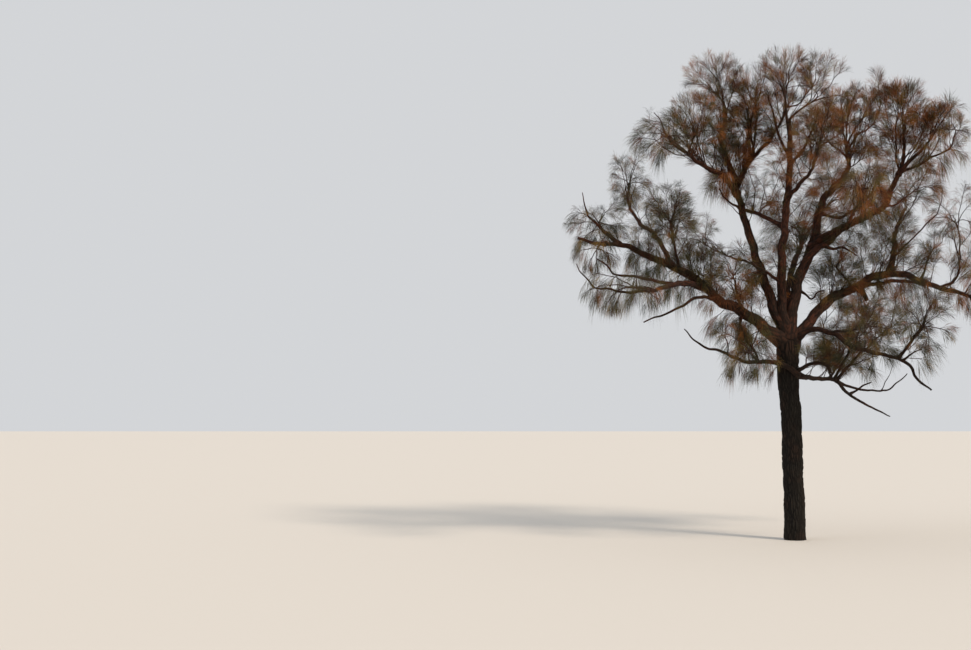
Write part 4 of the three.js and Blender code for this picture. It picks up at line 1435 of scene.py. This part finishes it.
# Lesser limbs and dead twigs that only this dressing has.
LESSER_LIMBS: list[tuple] = [
    ("hook", "stem_right", 0.02, 0.007, (0.08, 0.03, 3.72), (0.162, 0, 3.705), (0.306, -0.15, 3.576),
     (0.376, -0.2, 3.66), (0.461, -0.25, 3.685)),
    ("thin_limb", "bough_right", 0.022, 0.007, (1.085, 0.35, 3.776), (0.92, 0.2, 3.927),
     (0.743, 0.1, 4.098), (0.821, 0.1, 4.205), (0.809, 0.05, 4.321)),
    ("under_right_arm", "low_right_under", 0.023, 0.007, (0.818, 0.5, 2.369), (1.077, 0.6, 2.28),
     (1.371, 0.75, 2.238), (1.607, 0.85, 2.233), (1.781, 0.9, 2.258), (1.943, 0.95, 2.385),
     (2.091, 1, 2.498)),
    ("right_twig", "right_big", 0.02, 0.006, (1.327, -0.4, 4.912), (1.561, -0.2, 4.979),
     (1.754, 0, 5.109), (2.013, 0.2, 5.271), (2.206, 0.3, 5.369)),
    ("right_second_riser", "bough_right", 0.02, 0.008, (2.213, 0.65, 3.936), (2.329, 0.6, 4.26),
     (2.446, 0.6, 4.48)),
    ("stub_left", "stem_left", 0.022, 0.009, (-0.64, 0.3, 4.979), (-0.804, 0.1, 5.051),
     (-0.98, -0.1, 5.12), (-1.073, -0.2, 5.222)),
    ("link", "stem_middle", 0.032, 0.026, (-0.15, -0.18, 4.65), (-0.33, 0, 4.82), (-0.49, 0.15, 4.94),
     (-0.66, 0.28, 5.01)),
    ("link_low", "stem_middle", 0.024, 0.02, (-0.18, -0.05, 3.84), (-0.34, -0.12, 3.95),
     (-0.48, -0.05, 4.05), (-0.54, 0.12, 4.15)),
    ("left_cross", "stem_left", 0.03, 0.014, (-0.48, 0.39, 5.77), (-0.33, 0.3, 5.93), (-0.21, 0.15, 6.05),
     (-0.11, 0.05, 6.22), (-0.02, 0, 6.41), (0.03, -0.05, 6.56)),
    ("cross_twig", "left_cross", 0.013, 0.006, (0.02, -0.03, 6.51), (0.14, -0.1, 6.53),
     (0.23, -0.15, 6.61), (0.31, -0.2, 6.72), (0.41, -0.25, 6.88)),
    ("dense_stem", "stem_left", 0.02, 0.009, (-0.45, 0.39, 5.83), (-0.49, 0.35, 6.07), (-0.49, 0.3, 6.37),
     (-0.51, 0.28, 6.64)),
    ("middle_left_top", "stem_middle", 0.024, 0.009, (-0.02, -0.27, 5.68), (-0.1, -0.25, 5.87),
     (-0.16, -0.22, 6.04), (-0.2, -0.2, 6.25), (-0.24, -0.15, 6.47), (-0.29, -0.1, 6.67)),
    ("middle_right_top", "stem_middle", 0.024, 0.009, (0.02, -0.25, 5.59), (0.17, -0.3, 5.79),
     (0.25, -0.35, 5.96), (0.32, -0.4, 6.13), (0.37, -0.45, 6.33)),
    ("middle_arm_top", "middle_arm", 0.015, 0.007, (0.09, -1.22, 5.41), (0.1, -1.3, 5.56),
     (0.15, -1.35, 5.69), (0.18, -1.4, 5.85)),
    ("middle_arm_side", "middle_arm_top", 0.012, 0.006, (0.11, -1.31, 5.6), (0.3, -1.2, 5.71),
     (0.46, -1.1, 5.82), (0.57, -1, 5.97)),
    ("inner_cross", "stem_right", 0.018, 0.008, (1.11, 0.65, 5.89), (0.91, 0.5, 6.01), (0.77, 0.4, 6.1),
     (0.67, 0.35, 6.21), (0.61, 0.3, 6.37)),
    ("right_top_limb", "stem_right", 0.02, 0.008, (1.14, 0.69, 5.99), (1.37, 0.85, 6.32), (1.58, 1, 6.44),
     (1.71, 1.1, 6.58), (1.8, 1.15, 6.76), (1.87, 1.2, 6.91)),
    ("stem_right_top", "stem_right", 0.018, 0.008, (1.14, 0.69, 5.96), (1.11, 0.7, 6.19),
     (1.08, 0.72, 6.35), (1.07, 0.74, 6.55)),
    ("right_edge_limb", "right_big", 0.022, 0.007, (1.54, -0.6, 5.4), (1.72, -0.7, 5.46),
     (1.85, -0.8, 5.54), (1.99, -0.9, 5.59), (2.09, -0.95, 5.64), (2.14, -1, 5.75), (2.16, -1.05, 5.91)),
    ("crest_left", "right_big", 0.016, 0.007, (1.5, -0.58, 5.4), (1.47, -0.55, 5.62), (1.5, -0.5, 5.82),
     (1.51, -0.45, 6.06), (1.57, -0.4, 6.25), (1.61, -0.35, 6.44)),
    ("crest_right", "right_big_riser", 0.013, 0.006, (1.57, -0.57, 5.52), (1.62, -0.65, 5.65),
     (1.69, -0.7, 5.71), (1.75, -0.75, 5.84), (1.82, -0.8, 6.02)),
    ("edge_twig", "right_edge_limb", 0.01, 0.005, (1.74, -0.71, 5.48), (1.81, -0.8, 5.68),
     (1.88, -0.85, 5.84), (1.94, -0.9, 6.02)),
    ("edge_twig_outer", "right_edge_limb", 0.009, 0.004, (1.85, -0.8, 5.54), (1.94, -0.85, 5.69),
     (1.98, -0.9, 5.87), (2, -0.92, 6.06)),
    ("hidden_limb", "stem_right", 0.024, 0.012, (0.58, 0.2, 4.95), (0.72, 0.15, 4.86), (0.82, 0.1, 4.83),
     (0.98, 0.1, 4.93), (1.15, 0.15, 5.06), (1.3, 0.2, 5.18), (1.43, 0.25, 5.39), (1.52, 0.3, 5.56)),
    ("right_big_root", "stem_right", 0.046, 0.036, (0.08, 0.03, 3.8), (0.2, -0.05, 4.11),
     (0.37, -0.1, 4.31), (0.57, -0.1, 4.42), (0.78, -0.06, 4.61)),
    ("broken_right", "right_big_root", 0.026, 0.008, (0.51, -0.1, 4.37), (0.63, -0.15, 4.32),
     (0.75, -0.2, 4.33), (0.85, -0.25, 4.28), (0.96, -0.25, 4.2)),
    ("stem_right_twig", "stem_right", 0.009, 0.003, (1.15, 0.6, 5.68), (1.28, 0.5, 5.81),
     (1.36, 0.45, 5.91)),
    ("second_bough", "bough_right", 0.03, 0.024, (1.2, 0.38, 3.78), (1.38, 0.35, 3.84),
     (1.59, 0.35, 3.88), (1.88, 0.45, 3.91), (2.3, 0.68, 3.89)),
    ("knot_stub", "bough_right", 0.045, 0.028, (1.16, 0.38, 3.79), (1.22, 0.3, 3.69), (1.23, 0.25, 3.58)),
    ("curled_limb", "trunk", 0.03, 0.024, (0.07, -0.02, 2.45), (0.16, -0.25, 2.56), (0.29, -0.35, 2.6),
     (0.43, -0.4, 2.54), (0.46, -0.38, 2.44)),
    ("upper_left_end", "upper_left_arm", 0.022, 0.005, (-1.63, -0.37, 5.76), (-1.8, -0.42, 5.87),
     (-1.9, -0.45, 6), (-1.97, -0.48, 6.13), (-2, -0.5, 6.23), (-2.07, -0.52, 6.31)),
    ("upper_left_twig", "upper_left_arm", 0.011, 0.004, (-1.62, -0.36, 5.75), (-1.76, -0.5, 5.67),
     (-1.88, -0.6, 5.71), (-2.02, -0.7, 5.77), (-2.15, -0.8, 5.9)),
    ("tall_twig", "link", 0.009, 0.004, (-0.5, 0.16, 4.94), (-0.46, 0.2, 5.13), (-0.44, 0.22, 5.29),
     (-0.49, 0.22, 5.46), (-0.54, 0.22, 5.65)),
    ("left_fork_tip", "left_fork", 0.019, 0.005, (-2.88, -0.55, 4.57), (-3.06, -0.55, 4.74),
     (-3.12, -0.5, 4.95), (-3.14, -0.48, 5.11)),
    ("left_stub", "bough_left", 0.028, 0.018, (-2.83, -0.69, 4.31), (-3.06, -0.75, 4.33),
     (-3.24, -0.8, 4.4)),
    ("left_under_tip", "left_under", 0.022, 0.006, (-2.31, -1.53, 3.53), (-2.66, -1.6, 3.5),
     (-2.88, -1.6, 3.55), (-3.09, -1.6, 3.57), (-3.17, -1.6, 3.66), (-3.29, -1.6, 3.8),
     (-3.33, -1.6, 3.9)),
    ("left_under_arm", "left_under", 0.028, 0.008, (-2.01, -0.9, 3.72), (-2.28, -1.1, 3.74),
     (-2.47, -1.2, 3.77), (-2.69, -1.25, 3.79), (-2.81, -1.3, 3.81), (-2.9, -1.3, 3.92),
     (-3.02, -1.3, 4)),
    ("riser_side", "right_riser", 0.016, 0.004, (1.82, 0.6, 4.35), (1.92, 0.45, 4.46), (2.03, 0.3, 4.59),
     (2.15, 0.15, 4.75), (2.3, 0.1, 4.91), (2.37, 0.1, 5.11), (2.41, 0.1, 5.31)),
    ("riser_twig", "right_riser", 0.01, 0.004, (2.13, 1, 5.07), (2.28, 1, 5.24), (2.35, 1, 5.45),
     (2.36, 1, 5.74)),
    ("fan_stem", "low_right_under", 0.022, 0.01, (0.79, 0.5, 2.46), (0.95, 0.45, 2.7), (1.11, 0.35, 3.04),
     (1.16, 0.3, 3.22), (1.2, 0.25, 3.47)),
    ("fan_outer", "low_right_under", 0.018, 0.008, (0.85, 0.5, 2.48), (0.99, 0.35, 2.62),
     (1.12, 0.2, 2.77), (1.35, 0.1, 3.02), (1.53, 0, 3.19)),
    ("fan_inner", "low_right_under", 0.012, 0.005, (0.71, 0.5, 2.48), (0.68, 0.5, 2.86),
     (0.62, 0.45, 3.04), (0.68, 0.4, 3.44)),
    ("fan_low", "low_right_under", 0.014, 0.006, (0.88, 0.5, 2.46), (1.07, 0.6, 2.6), (1.27, 0.7, 2.67),
     (1.5, 0.8, 2.77)),
    ("puff_stem", "low_right_riser", 0.015, 0.008, (1.37, -1.1, 2.77), (1.45, -1.2, 2.96),
     (1.52, -1.3, 3.11), (1.59, -1.4, 3.34)),
    ("puff_side", "low_right", 0.016, 0.006, (1.37, -0.97, 2.65), (1.5, -1.05, 2.73), (1.58, -1.1, 2.76)),
    ("arm_twig", "under_right_arm", 0.008, 0.003, (1.63, 0.82, 2.27), (1.72, 0.8, 2.43),
     (1.8, 0.8, 2.61)),
    ("low_stub", "low_right_under", 0.019, 0.009, (1.05, 0.58, 2.17), (1.18, 0.55, 2.25),
     (1.36, 0.5, 2.35)),
    ("left_riser_twig", "left_riser", 0.008, 0.003, (-2.1, -0.1, 4.68), (-2.15, 0, 4.88),
     (-2.11, 0.05, 5.03), (-2.03, 0.05, 5.12), (-2.01, 0.05, 5.27)),
    ("drop_limb", "bough_left", 0.024, 0.015, (-0.75, -0.15, 3.38), (-0.78, -0.17, 3.12),
     (-0.64, -0.18, 2.86), (-0.53, -0.2, 2.65)),
    ("low_left_twig", "low_left", 0.011, 0.004, (-1.04, -0.42, 2.73), (-1.02, -0.42, 2.87),
     (-1.07, -0.4, 3.01), (-1.01, -0.4, 3.17)),
]

OLIVE, RUSSET = PaintedCrownLight

# The masses of foliage, where the frame has them: name, carrier, middle, reach, droop, painted light (olive
# where shaded, russet as painted sunlight) and how full its limb's end is, where that is not 1.
MASSES: list[tuple] = [
    ("far_left", "left_fork", (-2.9, -0.35, 4.68), (0.52, 0.5, 0.38), 0.5, OLIVE, 0.7),
    ("left_tip", "bough_left", (-2.98, -0.85, 4.15), (0.4, 0.42, 0.36), 0.8, OLIVE, 0),
    ("left_crest", "left_riser", (-2.2, 1.5, 5.76), (0.38, 0.45, 0.56), 0.4, OLIVE, 0.8),
    ("left_tuft", "left_tuft_limb", (-1.99, -1.4, 4.64), (0.39, 0.43, 0.47), 0.3, OLIVE, 2.2),
    ("left_hang", "left_under", (-2.76, -2.05, 3.47), (0.58, 0.53, 0.39), 0.8, OLIVE, 0.1),
    ("left_heart", "left_spur", (-0.68, 0.95, 4.11), (0.5, 0.48, 0.54), 0.3, OLIVE, 0.8),
    ("low_left_puff", "low_left_spur", (-0.92, -1.3, 2.71), (0.48, 0.47, 0.47), 0.6, OLIVE, 0.2),
    ("left_wisp", "stem_left_arm", (-1.03, 1.75, 4.79), (0.38, 0.45, 0.44), 0.4, OLIVE, 0.5),
    ("upper_far_left", "upper_left_arm", (-2.07, -1.3, 5.82), (0.44, 0.47, 0.39), 0.4, OLIVE, 0.6),
    ("upper_left", "upper_left_arm", (-1.45, -0.48, 6.17), (0.44, 0.47, 0.55), 0.1, RUSSET, 1.6),
    ("top_left", "upper_left_riser", (-1, 0.32, 7), (0.56, 0.54, 0.52), 0.1, RUSSET, 1.8),
    ("left_dense", "stem_left", (-0.59, 0.05, 6.33), (0.44, 0.45, 0.56), 0.3, RUSSET, 2),
    ("top_middle_left", "stem_left", (-0.36, 0.45, 7.04), (0.43, 0.46, 0.52), 0, RUSSET, 0.4),
    ("between", "cross_limb", (0.32, 2.1, 5.58), (0.43, 0.5, 0.6), 0.3, OLIVE, 0.4),
    ("top", "stem_middle", (-0.06, -0.23, 6.95), (0.43, 0.47, 0.56), 0, RUSSET, 0.6),
    ("top_right", "stem_middle", (0.43, -0.54, 6.7), (0.43, 0.47, 0.56), 0.1, RUSSET, 0.1),
    ("middle_right", "middle_arm", (0.01, -1.7, 5.68), (0.38, 0.45, 0.5), 0.3, RUSSET, 1.4),
    ("right_inner", "stem_right", (1.13, 0.65, 6.61), (0.43, 0.47, 0.55), 0.1, RUSSET, 0.3),
    ("right_top", "stem_right", (1.72, 1.25, 6.9), (0.47, 0.5, 0.5), 0.2, RUSSET, 0.7),
    ("right_crest", "right_big_riser", (1.69, -0.33, 6.35), (0.47, 0.49, 0.56), 0.1, RUSSET, 0.9),
    ("right_edge", "right_big", (1.83, -1.25, 5.94), (0.45, 0.47, 0.45), 0.4, RUSSET, 0.3),
    ("right_front", "right_front_limb", (0.41, -2.3, 4.84), (0.37, 0.48, 0.43), 0.6, RUSSET, 1.1),
    ("right_riser_puff", "right_riser", (2.53, 2.1, 5.66), (0.52, 0.53, 0.57), 0.3, RUSSET, 0),
    ("right_far", "bough_right", (3.3, 0.9, 4.05), (0.54, 0.54, 0.58), 0.7, RUSSET, 0.5),
    ("right_end", "right_end_riser", (3.09, 1.4, 5.11), (0.49, 0.5, 0.54), 0.4, RUSSET, 0.3),
    ("low_right_puff", "low_right_riser", (1.44, -1.6, 3.1), (0.44, 0.47, 0.46), 0.4, OLIVE, 0.1),
    ("low_right_front", "low_right_front_limb", (0.67, -1.65, 3.09), (0.44, 0.47, 0.49), 0.4, OLIVE, 0.5),
    ("low_right_tuft", "low_right_tuft_limb", (1.2, 1.35, 2.98), (0.52, 0.5, 0.52), 0.3, OLIVE, 1.8),
    ("back_low", "back_bough", (0.68, 2.5, 5.14), (0.67, 0.63, 0.6), 0.5, OLIVE, 1),
    ("back_high", "back_bough", (1.48, 2.3, 5.72), (0.56, 0.58, 0.6), 0.3, RUSSET, 1),
]

# Wands straight on the limbs: first and last share of the limb, count, length, droop and painted light (olive
# where shaded, russet as painted sunlight).
FRINGES: dict[str, list[tuple]] = {
    "bough_right": [
        (0.5, 0.98, 9, 0.14, 0.8, RUSSET), (0.22, 0.36, 14, 0.45, 0.2, OLIVE),
        (0.46, 0.62, 13, 0.5, 0.2, OLIVE), (0.2, 0.5, 8, 0.25, 0.3, OLIVE), (0.3, 0.5, 6, 0.2, 0.7, RUSSET),
        (0.6, 0.98, 9, 0.5, 0.1, RUSSET),
    ],
    "second_bough": [(0.3, 0.9, 4, 0.14, 0.8, OLIVE)],
    "bough_left": [
        (0.13, 0.2, 5, 0.24, 0.9, OLIVE), (0.17, 0.36, 10, 0.28, 0.7, RUSSET),
        (0.16, 0.36, 8, 0.3, 0.3, RUSSET), (0.48, 0.82, 19, 0.2, 0.8, OLIVE),
        (0.38, 0.58, 18, 0.4, 0.2, OLIVE), (0.6, 0.8, 9, 0.32, 0.3, OLIVE),
        (0.75, 0.98, 4, 0.25, 0.2, OLIVE),
    ],
    "left_under": [(0.3, 0.98, 6, 0.12, 0.8, OLIVE)],
    "left_under_arm": [(0.1, 0.7, 5, 0.12, 0.7, OLIVE)],
    "left_under_tip": [(0.1, 0.6, 5, 0.1, 0.8, OLIVE)],
    "left_riser": [(0.45, 0.98, 7, 0.25, 0.3, OLIVE)],
    "left_tuft_limb": [(0.4, 0.98, 5, 0.38, 0.1, OLIVE)],
    "low_left": [(0.22, 0.5, 6, 0.14, 0.8, OLIVE)],
    "left_spur": [(0.1, 0.98, 6, 0.4, 0.2, RUSSET)],
    "drop_limb": [(0.15, 0.8, 6, 0.16, 0.7, OLIVE)],
    "low_left_twig": [(0.3, 0.95, 4, 0.14, 0.5, OLIVE)],
    "link_low": [(0.2, 0.9, 7, 0.25, 0.4, OLIVE)],
    "upper_left_arm": [
        (0.02, 0.4, 9, 0.2, 0.8, RUSSET), (0, 0.3, 8, 0.35, 0.4, RUSSET), (0.1, 0.98, 14, 0.5, 0.1, OLIVE),
    ],
    "upper_left_twig": [(0.4, 0.98, 6, 0.2, 0.6, OLIVE)],
    "upper_left_riser": [(0.1, 0.9, 17, 0.4, 0.2, OLIVE)],
    "stem_left": [(0.18, 0.32, 5, 0.25, 0.5, RUSSET), (0.6, 0.98, 14, 0.45, 0.2, RUSSET)],
    "dense_stem": [(0.2, 0.98, 12, 0.32, 0.2, RUSSET)],
    "left_cross": [(0.2, 0.6, 7, 0.3, 0.4, RUSSET), (0.6, 0.98, 9, 0.5, 0.1, RUSSET)],
    "cross_twig": [(0.5, 0.98, 5, 0.22, 0.1, RUSSET)],
    "link": [(0.2, 0.8, 3, 0.25, 0.2, OLIVE)],
    "stem_middle": [(0.15, 0.4, 6, 0.25, 0.4, OLIVE), (0.48, 0.85, 14, 0.38, 0.4, RUSSET)],
    "middle_left_top": [(0.1, 0.6, 6, 0.3, 0.3, RUSSET)],
    "middle_right_top": [(0.2, 0.7, 6, 0.3, 0.2, RUSSET)],
    "middle_arm_top": [(0.2, 0.98, 6, 0.3, 0.2, RUSSET)],
    "middle_arm_side": [(0.3, 0.98, 6, 0.3, 0.1, RUSSET)],
    "stem_right": [(0.28, 0.6, 10, 0.32, 0.4, OLIVE), (0.6, 0.95, 12, 0.4, 0.2, RUSSET)],
    "stem_right_top": [(0.1, 0.98, 8, 0.35, 0.1, RUSSET)],
    "inner_cross": [(0.3, 0.98, 5, 0.3, 0.1, RUSSET)],
    "right_top_limb": [(0.3, 0.98, 9, 0.32, 0.1, RUSSET), (0.4, 0.98, 5, 0.2, 0.8, RUSSET)],
    "stem_right_twig": [(0.2, 0.95, 9, 0.26, 0.3, RUSSET)],
    "hidden_limb": [(0.4, 0.98, 11, 0.28, 0.4, RUSSET)],
    "right_big": [(0.2, 0.52, 11, 0.26, 0.6, OLIVE), (0.5, 0.98, 10, 0.35, 0.4, RUSSET)],
    "right_big_riser": [(0.2, 0.98, 5, 0.5, 0, RUSSET)],
    "right_edge_limb": [(0.2, 0.7, 8, 0.22, 0.7, RUSSET), (0.3, 0.98, 7, 0.35, 0.1, RUSSET)],
    "crest_left": [(0.05, 0.4, 10, 0.3, 0.3, RUSSET), (0.55, 0.98, 8, 0.34, 0, RUSSET)],
    "crest_right": [(0.6, 0.98, 5, 0.25, 0.1, RUSSET)],
    "edge_twig": [(0.5, 0.98, 5, 0.2, 0.1, RUSSET)],
    "edge_twig_outer": [(0.5, 0.98, 5, 0.2, 0.1, RUSSET)],
    "right_front_limb": [(0.3, 0.98, 7, 0.4, 0.4, RUSSET)],
    "right_twig": [(0.4, 0.98, 6, 0.3, 0.4, RUSSET)],
    "right_riser": [(0.05, 0.5, 13, 0.4, 0.3, OLIVE), (0.5, 0.98, 4, 0.4, 0.2, OLIVE)],
    "riser_twig": [(0.4, 0.98, 5, 0.2, 0.3, OLIVE)],
    "right_second_riser": [(0.3, 0.98, 5, 0.3, 0.2, OLIVE)],
    "right_end_riser": [(0.2, 0.98, 5, 0.4, 0.3, RUSSET)],
    "broken_right": [(0.1, 0.6, 4, 0.18, 0.6, RUSSET)],
    "low_right": [(0.22, 0.6, 7, 0.3, 0.1, OLIVE), (0.5, 0.64, 4, 0.15, 0.6, OLIVE)],
    "low_right_under": [(0.12, 0.5, 10, 0.38, 0, OLIVE)],
    "low_right_tuft_limb": [(0.2, 0.98, 7, 0.4, 0.2, OLIVE)],
    "curled_limb": [(0.35, 0.85, 10, 0.25, 0.3, OLIVE)],
    "fan_stem": [(0.3, 0.98, 12, 0.38, 0.2, RUSSET)],
    "fan_outer": [(0.3, 0.98, 12, 0.38, 0.2, RUSSET)],
    "fan_inner": [(0.3, 0.98, 8, 0.2, 0.3, OLIVE)],
    "fan_low": [(0.3, 0.98, 8, 0.22, 0.5, OLIVE)],
    "puff_stem": [(0.2, 0.98, 9, 0.3, 0.3, OLIVE)],
    "puff_side": [(0.2, 0.9, 5, 0.2, 0.6, OLIVE)],
    "low_right_riser": [(0.3, 0.98, 5, 0.3, 0.3, OLIVE)],
    "middle_arm": [(0.2, 0.98, 10, 0.35, 0.4, RUSSET)],
    "back_bough": [(0.4, 0.98, 14, 0.5, 0.3, OLIVE)],
    "thin_limb": [(0.2, 0.98, 10, 0.3, 0.3, OLIVE)],
}


def main() -> None:
    """Builds the tree and its studio, and reports each piece."""
    logging.basicConfig(level=logging.INFO, format="%(name)s: %(message)s")
    noise.seed_set(DRIFT_SEED)
    trunk = Trunk()
    # Painted shade: the trunk's bark is darker and greyer than the limbs', with fewer red-brown patches, as
    # shade on the lower tree.
    lower_bark = CorkyBark(name="corky_bark_lower", weathered="#211e19", patch_contrast=0.9).make()
    upper_bark = CorkyBark(name="corky_bark_upper", weathered="#2f2119").make()
    limbs: dict[str, Limb] = {}
    for name, carrier, root, tip, *points in [*LIMBS, *LESSER_LIMBS]:
        on = trunk if carrier == "trunk" else limbs[carrier]
        limbs[name] = Limb.on(on, name, root, tip, points)
    pieces = [trunk.build(lower_bark)]
    pieces += [limb.build(upper_bark) for limb in limbs.values()]
    masses = [Mass(*row) for row in MASSES]
    fringes = [Fringe(carrier, *row) for carrier, rows in FRINGES.items() for row in rows]
    pieces += Crown(limbs, masses, fringes).build()
    for piece in pieces:
        piece.place()
    Studio().build()


if __name__ == "__main__":
    main()
